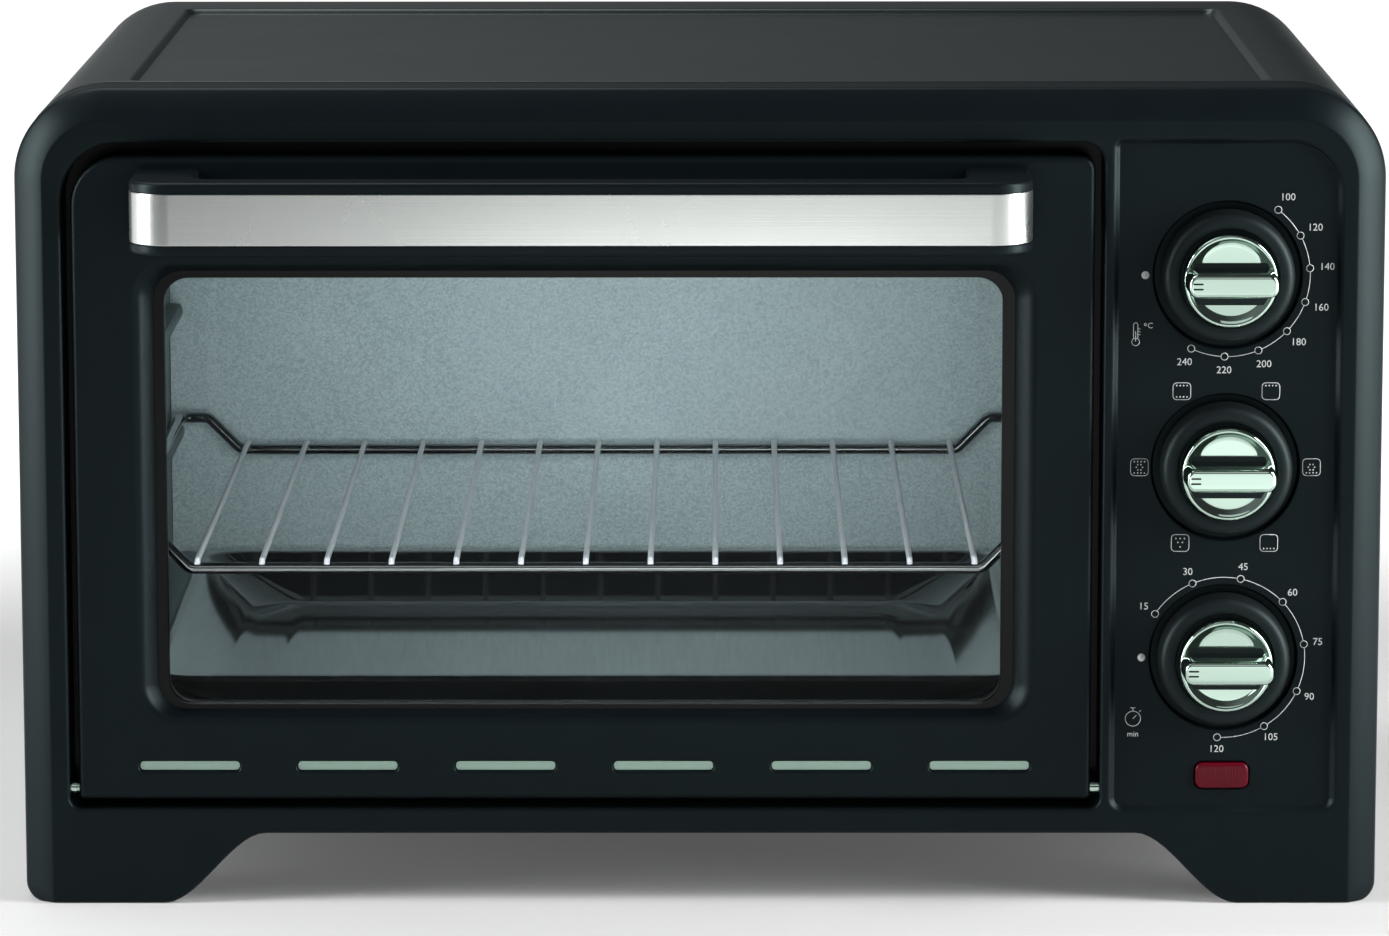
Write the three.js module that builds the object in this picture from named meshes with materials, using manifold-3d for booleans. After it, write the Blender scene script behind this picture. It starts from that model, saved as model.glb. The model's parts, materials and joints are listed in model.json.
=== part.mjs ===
// Toaster oven with a drop-down glass door, three dials, a wire rack and a baking tray.
// Millimetres, +Z up. The front faces -Y, and the origin is on the table under the middle of
// the overall box. Depths are counted from the bezel's front face towards the back.

import * as THREE from "three";
import { mergeVertices } from "three/addons/utils/BufferGeometryUtils.js";
import Module from "manifold-3d";

const wasm = await Module();
wasm.setup();

// Overall
const WIDTH = 480;
const HEIGHT = 290;
const BODY_DEPTH = 318; // bezel front face to the back edge of the cover
const HANDLE_REACH = 42; // how far the handle stands ahead of the bezel
const GAP = 0.3; // between pieces that touch
const SHEET = 1.2; // casing sheet
const LINER_SHEET = 1;

// Front bezel
const BEZEL_DEPTH = 25;
const BEZEL_CORNER = 32;
const BEZEL_WALL = 4;
const BAND_WIDTH = 10.5; // sloping outer band
const BAND_SETBACK = 8;
const SIDE_RAIL = 16.8;
const TOP_RAIL = 18.5;
const SILL_BOTTOM = 25.3;
const SILL_TOP = 34.2;
const FOOT_WIDTH = 50;
const FOOT_SLOPE = 36;
const FOOT_CORNER = 6;
const OPENING_CORNERS = [20, 8, 4, 4]; // top left, top right, bottom right, bottom left
const PANEL_CORNERS = [2, 17, 4, 4];
const MULLION = 4.6;
const PANEL_WIDTH = 77.3;
const PANEL_RECESS = 2;
const PANEL_WALL = 3;
const WELL_DEPTH = 3;

// Door
const DOOR_GAP = 3.2;
const DOOR_GAP_TOP = 5;
const DOOR_FACE = 1;
const DOOR_SHELL = 11.3; // thickness of the outer frame
const DOOR_CORNERS = [17, 5, 2, 2];
const GLASS_THICKNESS = 3;
const GLASS_OVERLAP = 9;
const GLASS_CORNER = 3;
const INNER_FRAME = 3.4;
const INNER_FRAME_INSET = 14;
const INNER_FRAME_CORNER = 8;
const INNER_FRAME_LIFT = 19; // inner frame above the door's lower edge
const WINDOW_SIDE = 31.7; // door edge to clear glass
const WINDOW_BOTTOM = 33.1;
const WINDOW_TOP = 43.4;
const WINDOW_CORNER = 9;
const VENT_COUNT = 6;
const VENT_PITCH = 55.9;
const VENT_LENGTH = 35.8;
const VENT_HEIGHT = 3.8;
const VENT_LIFT = 12;

// Handle
const HANDLE_LENGTH = 311.5;
const HANDLE_HEIGHT = 25.5;
const HANDLE_DROP = 4; // handle top below the door top
const HANDLE_CORNER = 15;
const HANDLE_BAR = 14;
const HANDLE_POST = 22;
const HANDLE_INNER_CORNER = 8;
const TRIM_HEIGHT = 18;
const TRIM_SHEET = 1;
const TRIM_WRAP = 34; // how far back the strip runs round each end

// Door hinge and stop arms
const HINGE_RISE = 3.6; // axis above the door's lower edge
const HINGE_DEPTH = 6;
const PIN_RADIUS = 2.5;
const PIN_REACH = 11;
const PIN_BITE = 9; // into the bezel's left side
const PIN_SKIN = 1; // left of the mullion beyond the right pin
const ARM_RADIUS = 45;
const ARM_BAR = 3;
const ARM_SHEET = 3;
const ARM_TAB = 2;
const ARM_TAB_BELOW = 8;
const ARM_TAB_ABOVE = 9;
const ARM_HEAD = 3.5; // degrees
const ARM_HEAD_BAR = 6.4;
const ARM_SLOT_SPACE = 2;
const DOOR_SWING = 86; // degrees from shut to open
const ARM_STOP_SPACE = 0.5; // degrees left between the arm's head and the front frame
const SPRING_RADIUS = 3.4;
const SPRING_WIRE = 1.2;
const SPRING_TURNS = 9;
const SPRING_LENGTH = 70;
const SPRING_Z = 33;

// Liner, guides, rack and tray
const LINER_INSET = 12; // door opening to the liner's inner wall
const LINER_FLOOR = 41;
const LINER_CEILING = 40; // liner's inner top below the overall height
const LINER_CORNER = 7;
const DOOR_SEAT = 1.3; // closed door to the liner's front plate
const MOUTH_LIP = 6;
const REAR_SPACE = 10; // liner back to the back edge of the cover
const GUIDE_START = 30;
const GUIDE_HEIGHT = 6;
const RACK_GUIDE = 6.5;
const TRAY_GUIDE = 13.3;
const UPPER_GUIDE_RISE = 48;
const RACK_FRONT = 35;
const RACK_REAR_SPACE = 8;
const RACK_Z = 127; // side rails
const RACK_DROP = 12.7; // cross rails hang below the side rails
const RACK_SIDE_SPACE = 4.3; // side rail centre to the liner wall
const RACK_JOG = 3.3;
const RAIL_RADIUS = 2.1;
const WIRE_RADIUS = 1;
const WIRE_COUNT = 13;
const WIRE_PITCH = 23.15;
const TRAY_FRONT = 38;
const TRAY_REAR_SPACE = 13;
const TRAY_SIDE_SPACE = 11.3;
const TRAY_RIM_Z = 74.5;
const TRAY_BASIN = 18.5;
const TRAY_SHEET = 1.2;
const TRAY_RIM = 5;
const TRAY_SLOPE = 23;
const TRAY_CORNER = 16;

// Heating elements, fan and casing
const ROD_RADIUS = 3.2;
const ROD_PIN_RADIUS = 1.3;
const ROD_PIN = 8;
const ROD_CEILING = 12;
const ROD_FLOOR = 6.2;
const ROD_FRONT = 95;
const ROD_SPACING = 130;
const BUSH_RADIUS = 7;
const BUSH_LENGTH = 11;
const SHIELD_SPACE = 3;
const SHIELD_START = 4; // behind the bezel
const SHIELD_LENGTH = 70;
const SHIELD_RISE = 14;
const SHIELD_DROP = 8;
const FAN_DEPTH = 190;
const FAN_LIFT = 4.5; // fan above the middle of the liner
const FAN_RADIUS = 42;
const FAN_CASE_RADIUS = 52;
const FAN_CASE_DEPTH = 20;
const MOTOR_SIZE = 46;
const MOTOR_LENGTH = 38;
const BLADES = 8;
const BLADE_SHEET = 1.2;
const BLADE_SPACE = 3;
const HUB_RADIUS = 9;
const FAN_SHAFT_RADIUS = 2.5;
const FAN_SHAFT_BITE = 14;
const FAN_CASE_BORE = 6;
const GRILLE_RING = 26;
const GRILLE_HOLE = 7;
const COVER_INSET = 1;
const COVER_BOTTOM = 20.5;
const BASE_Z = 22;
const REAR_LIP = 2.3; // rear panel inside the cover's back edge
const REAR_FOOT_RADIUS = 12;
const REAR_FOOT_CHAMFER = 2;
const REAR_FOOT_FLARE = 2;
const REAR_FOOT_X = 200;
const REAR_FOOT_SPACE = 30;
const GLAND_Z = 55;
const GLAND_RADIUS = 7;
const GLAND_FLANGE = 4;
const GLAND_NECK = 12;
const TERMINAL = { width: 40, length: 18, height: 16 };
const TERMINAL_SPACE = 34; // ahead of the liner's end

// Controls
const KNOB_PITCH = 68.1;
const KNOB_LIFT = 3.75; // middle knob above the middle of the panel
const WELL_RADIUS = 25.9;
const SKIRT_RADIUS = 23.2;
const SKIRT_FRONT = 8;
const SKIRT_FACE = 2;
const SKIRT_SPACE = 0.5; // to the floor of its well
const KNOB_EDGE = 1.5;
const KNOB_DRAFT = 0.5;
const CAP_RADIUS = 16.4;
const CAP_FRONT = 14.5;
const GRIP_LENGTH = 31;
const GRIP_WIDTH = 8.4;
const GRIP_FRONT = 28;
const SHAFT_RADIUS = 3;
const SHAFT_SPACE = 2;
const BRACKET_SPACE = 6; // panel's rear face to the control bracket
const SWITCH_BORE = 14;
const SHAFT_BITE = 12;
const THERMOSTAT = { width: 42, height: 34, length: 32 };
const SWITCH = { width: 38, height: 38, length: 36 };
const TIMER = { width: 56, height: 46, length: 42 };
const BELL_RADIUS = 18;
const BELL_HEIGHT = 13;
const CAPILLARY_RADIUS = 0.9;
const CAPILLARY_REACH = 110;
const BULB_RADIUS = 2.4;
const BULB_LENGTH = 75;
const BULB_SPACE = 14; // beside the liner
const BULB_DROP = 20; // below the liner's ceiling
const BRACKET_INSET = 2;
const BRACKET_CORNER = 4;
const LENS_WIDTH = 19;
const LENS_HEIGHT = 9.4;
const LENS_SETBACK = 0.5;
const LENS_FLANGE = 1.5;
const LENS_LIFT = 11.9; // above the panel's lower edge

// Places worked out from the sizes
const FRONT = (HANDLE_REACH - BODY_DEPTH) / 2;
const LEFT = -WIDTH / 2;
const RIGHT = WIDTH / 2;
const OPENING = {
  x0: LEFT + SIDE_RAIL,
  x1: RIGHT - SIDE_RAIL - PANEL_WIDTH - MULLION,
  z0: SILL_TOP,
  z1: HEIGHT - TOP_RAIL,
};
const PANEL = { x0: OPENING.x1 + MULLION, x1: RIGHT - SIDE_RAIL, z0: OPENING.z0, z1: OPENING.z1 };
const PANEL_X = (PANEL.x0 + PANEL.x1) / 2;
const PANEL_BACK = PANEL_RECESS + WELL_DEPTH + PANEL_WALL;
const BRACKET_DEPTH = PANEL_BACK + BRACKET_SPACE;
const DOOR = {
  x0: OPENING.x0 + DOOR_GAP,
  x1: OPENING.x1 - DOOR_GAP,
  z0: OPENING.z0 + DOOR_GAP,
  z1: OPENING.z1 - DOOR_GAP_TOP,
};
const DOOR_X = (DOOR.x0 + DOOR.x1) / 2;
const GLASS_DEPTH = DOOR_FACE + DOOR_SHELL - GLASS_THICKNESS - GAP;
const WINDOW = {
  x0: DOOR.x0 + WINDOW_SIDE,
  x1: DOOR.x1 - WINDOW_SIDE,
  z0: DOOR.z0 + WINDOW_BOTTOM,
  z1: DOOR.z1 - WINDOW_TOP,
};
const FRAME_DEPTH = DOOR_FACE + DOOR_SHELL + GAP + INNER_FRAME + DOOR_SEAT;
const HINGE = { depth: HINGE_DEPTH, z: DOOR.z0 + HINGE_RISE };
const HANDLE = {
  x0: DOOR_X - HANDLE_LENGTH / 2,
  x1: DOOR_X + HANDLE_LENGTH / 2,
  z0: DOOR.z1 - HANDLE_DROP - HANDLE_HEIGHT,
  z1: DOOR.z1 - HANDLE_DROP,
};
const LINER = {
  x0: OPENING.x0 + LINER_INSET,
  x1: OPENING.x1 - LINER_INSET,
  z0: LINER_FLOOR,
  z1: HEIGHT - LINER_CEILING,
  start: FRAME_DEPTH + LINER_SHEET + 2 * GAP,
  end: BODY_DEPTH - REAR_SPACE,
};
const LINER_HALF = (LINER.x1 - LINER.x0) / 2;
const ARM_TAB_DEPTH = DOOR_FACE + DOOR_SHELL + GAP;
const ARM_INNER = ARM_RADIUS - ARM_BAR / 2;
const ARM_START = THREE.MathUtils.radToDeg(Math.acos((ARM_TAB_DEPTH + GAP - HINGE.depth) / ARM_INNER));
const ARM_STOP = THREE.MathUtils.radToDeg(
  Math.acos((LINER.start - HINGE.depth) / (ARM_RADIUS - ARM_HEAD_BAR / 2)),
);
const ARM_END = ARM_STOP - DOOR_SWING - ARM_STOP_SPACE; // degrees above the horizontal
const ARM_LANE = (LINER_INSET - LINER_SHEET) / 2; // middle of the space beside the liner
const RACK_GUIDE_TOP = RACK_Z - RAIL_RADIUS - GAP;
const TRAY_GUIDE_TOP = TRAY_RIM_Z - TRAY_SHEET - GAP;
const REAR_PANEL_DEPTH = BODY_DEPTH - REAR_LIP - SHEET;

const CURVE_STEPS = 4;
const ROUND_SIDES = 24;
const SMALL_SIDES = 12;
const WIRE_SIDES = 5;
const RAIL_SIDES = 6;
const MERGE = 1e-4;
const PAST = 50; // how far a cutter runs past what it cuts

const charcoal = { color: 0x1c1f21, roughness: 0.5, metalness: 0 };
const paint = { color: 0x24282a, roughness: 0.42, metalness: 0.1 };
const liner = { color: 0x9aa5a6, roughness: 0.4, metalness: 0.8 };
const steel = { color: 0xb9bcbd, roughness: 0.28, metalness: 1 };
const chrome = { color: 0xdadcdd, roughness: 0.08, metalness: 1 };
const glass = { color: 0xa8b8b4, roughness: 0.03, metalness: 0, transparent: true, opacity: 0.3 };
const enamel = { color: 0x101214, roughness: 0.12, metalness: 0 };
const ceramic = { color: 0xe6e1d6, roughness: 0.6, metalness: 0 };
const rodSheath = { color: 0x4c4a46, roughness: 0.45, metalness: 0.7 };
const plastic = { color: 0x2b2d2f, roughness: 0.55, metalness: 0 };
const redLens = { color: 0x8e1512, roughness: 0.15, metalness: 0 };
const rubber = { color: 0x141414, roughness: 0.85, metalness: 0 };
const brass = { color: 0xb08a3e, roughness: 0.35, metalness: 1 };

// ---- geometry helpers ----

function depth(distance) {
  return FRONT + distance;
}

function solid(geometry) {
  const bare = new THREE.BufferGeometry();
  bare.setAttribute("position", geometry.getAttribute("position"));
  bare.setIndex(geometry.index);
  const merged = mergeVertices(bare, MERGE);
  const mesh = new wasm.Mesh({
    numProp: 3,
    vertProperties: new Float32Array(merged.attributes.position.array),
    triVerts: new Uint32Array(merged.index.array),
  });
  return new wasm.Manifold(mesh);
}

function geometryOf(body) {
  const mesh = body.getMesh();
  const geometry = new THREE.BufferGeometry();
  geometry.setAttribute("position", new THREE.BufferAttribute(mesh.vertProperties, 3));
  geometry.setIndex(new THREE.BufferAttribute(mesh.triVerts, 1));
  geometry.computeVertexNormals();
  return geometry;
}

function box(x0, x1, y0, y1, z0, z1) {
  const geometry = new THREE.BoxGeometry(x1 - x0, y1 - y0, z1 - z0);
  return solid(geometry.translate((x0 + x1) / 2, (y0 + y1) / 2, (z0 + z1) / 2));
}

// Rounded rectangle; corners are one radius, or [top left, top right, bottom right, bottom left].
function roundedRect(area, corners) {
  const [tl, tr, br, bl] = Array.isArray(corners) ? corners : [corners, corners, corners, corners];
  const { x0, x1, z0, z1 } = area;
  const shape = new THREE.Shape();
  shape.moveTo(x0 + bl, z0);
  shape.lineTo(x1 - br, z0);
  if (br) shape.absarc(x1 - br, z0 + br, br, -Math.PI / 2, 0);
  shape.lineTo(x1, z1 - tr);
  if (tr) shape.absarc(x1 - tr, z1 - tr, tr, 0, Math.PI / 2);
  shape.lineTo(x0 + tl, z1);
  if (tl) shape.absarc(x0 + tl, z1 - tl, tl, Math.PI / 2, Math.PI);
  shape.lineTo(x0, z0 + bl);
  if (bl) shape.absarc(x0 + bl, z0 + bl, bl, Math.PI, 1.5 * Math.PI);
  return shape;
}

function disc(x, y, radius) {
  const shape = new THREE.Shape();
  shape.absarc(x, y, radius, 0, 2 * Math.PI);
  return shape;
}

function inset(area, by) {
  return { x0: area.x0 + by, x1: area.x1 - by, z0: area.z0 + by, z1: area.z1 - by };
}

function extrude(shape, length, options = {}) {
  const settings = { depth: length, bevelEnabled: false, curveSegments: CURVE_STEPS, ...options };
  return new THREE.ExtrudeGeometry(shape, settings);
}

// A shape drawn in X and Z, from depth y0 to y1.
function alongY(shape, y0, y1, options) {
  return solid(extrude(shape, y1 - y0, options).rotateX(Math.PI / 2).translate(0, y1, 0));
}

// A shape drawn in Y and Z, from x0 to x1.
function alongX(shape, x0, x1, options) {
  const turn = new THREE.Matrix4().makeBasis(
    new THREE.Vector3(0, 1, 0),
    new THREE.Vector3(0, 0, 1),
    new THREE.Vector3(1, 0, 0),
  );
  return solid(extrude(shape, x1 - x0, options).applyMatrix4(turn).translate(x0, 0, 0));
}

// A shape drawn in X and Y, from z0 to z1.
function alongZ(shape, z0, z1, options) {
  return solid(extrude(shape, z1 - z0, options).translate(0, 0, z0));
}

// A profile of [radius, height] turned about the Y axis.
function turned(profile, sides = ROUND_SIDES) {
  const points = profile.map(([radius, height]) => new THREE.Vector2(radius, height));
  return solid(new THREE.LatheGeometry(points, sides));
}

function turnedAlongX(profile, sides) {
  return turned(profile, sides).rotate([0, 0, -90]);
}

function turnedAlongZ(profile, sides) {
  return turned(profile, sides).rotate([90, 0, 0]);
}

function cylinderY(x, z, radius, y0, y1, sides = SMALL_SIDES) {
  const profile = [[0, y0], [radius, y0], [radius, y1], [0, y1]];
  return turned(profile, sides).translate([x, 0, z]);
}

function cylinderX(y, z, radius, x0, x1, sides = SMALL_SIDES) {
  const profile = [[0, x0], [radius, x0], [radius, x1], [0, x1]];
  return turnedAlongX(profile, sides).translate([0, y, z]);
}

function tube(curve, radius, sides, steps) {
  const section = new THREE.Shape();
  section.setFromPoints(
    Array.from({ length: sides }, (_, i) => {
      const angle = (2 * Math.PI * i) / sides;
      return new THREE.Vector2(radius * Math.cos(angle), radius * Math.sin(angle));
    }),
  );
  return solid(new THREE.ExtrudeGeometry(section, { steps, extrudePath: curve }));
}

function straight(from, to) {
  return new THREE.LineCurve3(new THREE.Vector3(...from), new THREE.Vector3(...to));
}

function joined(bodies) {
  return bodies.reduce((whole, body) => whole.add(body));
}

const root = new THREE.Group();

function part(name, body, look, group = root) {
  const mesh = new THREE.Mesh(geometryOf(body), new THREE.MeshStandardMaterial(look));
  mesh.name = name;
  group.add(mesh);
  return mesh;
}

// ---- casing ----

// The bezel's front is a plate with a sloping outer band, which runs down both feet.
function bezelBody() {
  const outline = roundedRect(
    { x0: LEFT, x1: RIGHT, z0: -PAST, z1: HEIGHT },
    [BEZEL_CORNER, BEZEL_CORNER, 0, 0],
  );
  const band = {
    bevelEnabled: true,
    bevelThickness: BAND_SETBACK,
    bevelSize: BAND_WIDTH,
    bevelOffset: -BAND_WIDTH,
    bevelSegments: 2,
  };
  const start = depth(BAND_SETBACK);
  const plate = alongY(outline, start, depth(BEZEL_DEPTH + PAST), band);
  const standing = roundedRect(
    { x0: LEFT, x1: RIGHT, z0: 0, z1: HEIGHT },
    [BEZEL_CORNER, BEZEL_CORNER, FOOT_CORNER, FOOT_CORNER],
  );
  return plate.intersect(alongY(standing, depth(0), depth(BEZEL_DEPTH)));
}

function footArch() {
  const inner = RIGHT - FOOT_WIDTH;
  const shape = new THREE.Shape();
  shape.moveTo(-inner, -PAST);
  shape.lineTo(inner, -PAST);
  shape.lineTo(inner, 0);
  shape.bezierCurveTo(
    inner - FOOT_SLOPE / 2, 0,
    inner - FOOT_SLOPE / 2, SILL_BOTTOM,
    inner - FOOT_SLOPE, SILL_BOTTOM,
  );
  shape.lineTo(FOOT_SLOPE - inner, SILL_BOTTOM);
  shape.bezierCurveTo(
    FOOT_SLOPE / 2 - inner, SILL_BOTTOM,
    FOOT_SLOPE / 2 - inner, 0,
    -inner, 0,
  );
  return alongY(shape, depth(-PAST), depth(BEZEL_DEPTH + PAST));
}

function knobHeights() {
  const middle = (PANEL.z0 + PANEL.z1) / 2 + KNOB_LIFT;
  return [middle + KNOB_PITCH, middle, middle - KNOB_PITCH];
}

function lensShape(grow) {
  const z = PANEL.z0 + LENS_LIFT;
  const area = {
    x0: PANEL_X - LENS_WIDTH / 2 - grow,
    x1: PANEL_X + LENS_WIDTH / 2 + grow,
    z0: z - LENS_HEIGHT / 2 - grow,
    z1: z + LENS_HEIGHT / 2 + grow,
  };
  return roundedRect(area, LENS_HEIGHT / 3);
}

function frontBezel() {
  let body = bezelBody().subtract(footArch());
  const opening = roundedRect(OPENING, OPENING_CORNERS);
  body = body.subtract(alongY(opening, depth(-PAST), depth(BEZEL_DEPTH + PAST)));
  const recess = roundedRect(PANEL, PANEL_CORNERS);
  body = body.subtract(alongY(recess, depth(-PAST), depth(PANEL_RECESS)));
  const hollow = {
    x0: PANEL.x0,
    x1: RIGHT - BEZEL_WALL,
    z0: PANEL.z0 + PANEL_WALL,
    z1: HEIGHT - BEZEL_WALL,
  };
  const hollowShape = roundedRect(hollow, [2, BEZEL_CORNER - BEZEL_WALL, 2, 2]);
  body = body.subtract(alongY(hollowShape, depth(PANEL_BACK), depth(BEZEL_DEPTH + PAST)));
  for (const z of knobHeights()) {
    const floor = PANEL_RECESS + WELL_DEPTH;
    body = body.subtract(cylinderY(PANEL_X, z, WELL_RADIUS, depth(-PAST), depth(floor), ROUND_SIDES));
    const hole = SHAFT_RADIUS + SHAFT_SPACE;
    body = body.subtract(cylinderY(PANEL_X, z, hole, depth(-PAST), depth(BEZEL_DEPTH)));
  }
  body = body.subtract(alongY(lensShape(GAP), depth(-PAST), depth(BEZEL_DEPTH)));
  for (const [x0, x1] of [pinSpan(-1), pinSpan(1)]) {
    body = body.subtract(cylinderX(depth(HINGE.depth), HINGE.z, PIN_RADIUS + GAP, x0 - GAP, x1 + GAP));
  }
  part("front_bezel", body, charcoal);
}

// The cover is one sheet bent over the top and both sides.
function outerCover() {
  const half = WIDTH / 2 - COVER_INSET;
  const top = HEIGHT - COVER_INSET;
  const radius = BEZEL_CORNER - COVER_INSET;
  const inner = radius - SHEET;
  const shape = new THREE.Shape();
  shape.moveTo(-half, COVER_BOTTOM);
  shape.lineTo(-half + SHEET, COVER_BOTTOM);
  shape.lineTo(-half + SHEET, top - radius);
  shape.absarc(-half + radius, top - radius, inner, Math.PI, Math.PI / 2, true);
  shape.lineTo(half - radius, top - SHEET);
  shape.absarc(half - radius, top - radius, inner, Math.PI / 2, 0, true);
  shape.lineTo(half - SHEET, COVER_BOTTOM);
  shape.lineTo(half, COVER_BOTTOM);
  shape.lineTo(half, top - radius);
  shape.absarc(half - radius, top - radius, radius, 0, Math.PI / 2);
  shape.lineTo(-half + radius, top);
  shape.absarc(-half + radius, top - radius, radius, Math.PI / 2, Math.PI);
  part("outer_cover", alongY(shape, depth(BEZEL_DEPTH + GAP), depth(BODY_DEPTH)), paint);
}

function casingInside(by) {
  const half = WIDTH / 2 - COVER_INSET - SHEET - by;
  return { x0: -half, x1: half, z0: BASE_Z + SHEET + by, z1: HEIGHT - COVER_INSET - SHEET - by };
}

function rearPanel() {
  const corner = BEZEL_CORNER - COVER_INSET - SHEET - GAP;
  const shape = roundedRect(casingInside(GAP), [corner, corner, 0, 0]);
  shape.holes.push(disc(PANEL_X, GLAND_Z, GLAND_RADIUS + GAP));
  const start = depth(REAR_PANEL_DEPTH);
  part("rear_panel", alongY(shape, start, start + SHEET, { curveSegments: 8 }), paint);
}

function basePlate() {
  const inside = casingInside(GAP);
  const y0 = depth(BEZEL_DEPTH + GAP);
  const y1 = depth(REAR_PANEL_DEPTH + SHEET);
  part("base_plate", box(inside.x0, inside.x1, y0, y1, BASE_Z, BASE_Z + SHEET), paint);
}

function rearFeet() {
  const top = BASE_Z - GAP;
  const profile = [
    [0, 0], [REAR_FOOT_RADIUS - REAR_FOOT_CHAMFER, 0], [REAR_FOOT_RADIUS, REAR_FOOT_CHAMFER],
    [REAR_FOOT_RADIUS + REAR_FOOT_FLARE, top], [0, top],
  ];
  for (const [name, side] of [["rear_foot_left", -1], ["rear_foot_right", 1]]) {
    const foot = part(name, turned(profile, 16).rotate([90, 0, 0]), rubber);
    foot.position.set(side * REAR_FOOT_X, depth(BODY_DEPTH - REAR_FOOT_SPACE), 0);
  }
}

// ---- door ----

// The pin bridges the gap between the door's lower corner and the bezel.
function pinSpan(side) {
  const edge = side < 0 ? DOOR.x0 : DOOR.x1;
  const bezelEdge = side < 0 ? OPENING.x0 : OPENING.x1;
  const bite = side < 0 ? PIN_BITE : MULLION - PIN_SKIN;
  const inner = edge - side * PIN_REACH;
  const outer = bezelEdge + side * bite;
  return side < 0 ? [outer, inner] : [inner, outer];
}

function doorFrame() {
  const shape = roundedRect(DOOR, DOOR_CORNERS);
  const rear = DOOR_FACE + DOOR_SHELL;
  shape.holes.push(roundedRect(WINDOW, WINDOW_CORNER));
  for (let i = 0; i < VENT_COUNT; i += 1) {
    const middle = DOOR_X + (i - (VENT_COUNT - 1) / 2) * VENT_PITCH;
    const z = DOOR.z0 + VENT_LIFT;
    const slot = {
      x0: middle - VENT_LENGTH / 2,
      x1: middle + VENT_LENGTH / 2,
      z0: z - VENT_HEIGHT / 2,
      z1: z + VENT_HEIGHT / 2,
    };
    shape.holes.push(roundedRect(slot, VENT_HEIGHT / 2 - GAP));
  }
  let body = alongY(shape, depth(DOOR_FACE), depth(rear), { curveSegments: 4 });
  const seat = inset(WINDOW, -GLASS_OVERLAP - GAP);
  const seatShape = roundedRect(seat, GLASS_CORNER);
  body = body.subtract(alongY(seatShape, depth(GLASS_DEPTH - GAP), depth(rear + PAST)));
  for (const [x0, x1] of [pinSpan(-1), pinSpan(1)]) {
    body = body.subtract(cylinderX(depth(HINGE.depth), HINGE.z, PIN_RADIUS + GAP, x0 - GAP, x1 + GAP));
  }
  part("door_frame", body, charcoal);
}

function doorGlass() {
  const pane = roundedRect(inset(WINDOW, -GLASS_OVERLAP), GLASS_CORNER);
  part("door_glass", alongY(pane, depth(GLASS_DEPTH), depth(GLASS_DEPTH + GLASS_THICKNESS)), glass);
}

function doorInnerFrame() {
  const area = inset(DOOR, INNER_FRAME_INSET);
  area.z0 = DOOR.z0 + INNER_FRAME_LIFT;
  const shape = roundedRect(area, INNER_FRAME_CORNER);
  shape.holes.push(roundedRect(WINDOW, WINDOW_CORNER));
  const start = DOOR_FACE + DOOR_SHELL + GAP;
  part("door_inner_frame", alongY(shape, depth(start), depth(start + INNER_FRAME)), liner);
}

// The handle's plan is a flat bow: two posts and a bar with rounded front corners.
function handlePlan(trim) {
  const x0 = HANDLE.x0 + trim;
  const x1 = HANDLE.x1 - trim;
  const front = depth(trim - HANDLE_REACH);
  const back = depth(DOOR_FACE - GAP);
  const inside = depth(HANDLE_BAR - HANDLE_REACH);
  const outer = HANDLE_CORNER - trim;
  const inner = HANDLE_INNER_CORNER;
  const post0 = HANDLE.x0 + HANDLE_POST;
  const post1 = HANDLE.x1 - HANDLE_POST;
  const shape = new THREE.Shape();
  shape.moveTo(x0, back);
  shape.lineTo(x0, front + outer);
  shape.absarc(x0 + outer, front + outer, outer, Math.PI, 1.5 * Math.PI);
  shape.lineTo(x1 - outer, front);
  shape.absarc(x1 - outer, front + outer, outer, 1.5 * Math.PI, 2 * Math.PI);
  shape.lineTo(x1, back);
  shape.lineTo(post1, back);
  shape.lineTo(post1, inside + inner);
  shape.absarc(post1 - inner, inside + inner, inner, 0, -Math.PI / 2, true);
  shape.lineTo(post0 + inner, inside);
  shape.absarc(post0 + inner, inside + inner, inner, -Math.PI / 2, -Math.PI, true);
  shape.lineTo(post0, back);
  return shape;
}

function stripBand() {
  const middle = (HANDLE.z0 + HANDLE.z1) / 2;
  return [middle - TRIM_HEIGHT / 2, middle + TRIM_HEIGHT / 2];
}

function handleBar() {
  const [low, high] = stripBand();
  const bow = alongZ(handlePlan(0), HANDLE.z0, HANDLE.z1);
  const core = alongZ(handlePlan(TRIM_SHEET + GAP), low - PAST, high + PAST);
  const stripEnd = depth(TRIM_WRAP - HANDLE_REACH + GAP);
  const around = box(LEFT, RIGHT, depth(-HANDLE_REACH - PAST), stripEnd, low - GAP, high + GAP);
  part("handle_bar", bow.subtract(around.subtract(core)), charcoal);
}

function handleTrim() {
  const [low, high] = stripBand();
  const skin = alongZ(handlePlan(0), low, high);
  const core = alongZ(handlePlan(TRIM_SHEET), low - PAST, high + PAST);
  const front = depth(-HANDLE_REACH - PAST);
  const bowInside = box(
    HANDLE.x0 + TRIM_SHEET, HANDLE.x1 - TRIM_SHEET,
    depth(HANDLE_BAR / 2 - HANDLE_REACH + HANDLE_CORNER), depth(PAST),
    low - PAST, high + PAST,
  );
  const reach = box(LEFT, RIGHT, front, depth(TRIM_WRAP - HANDLE_REACH), low - PAST, high + PAST);
  part("handle_trim", skin.subtract(core).subtract(bowInside).intersect(reach), steel);
}

function hingePins() {
  for (const [name, side] of [["hinge_pin_left", -1], ["hinge_pin_right", 1]]) {
    const [x0, x1] = pinSpan(side);
    part(name, cylinderX(depth(HINGE.depth), HINGE.z, PIN_RADIUS, x0, x1, 16), chrome);
  }
}

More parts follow.
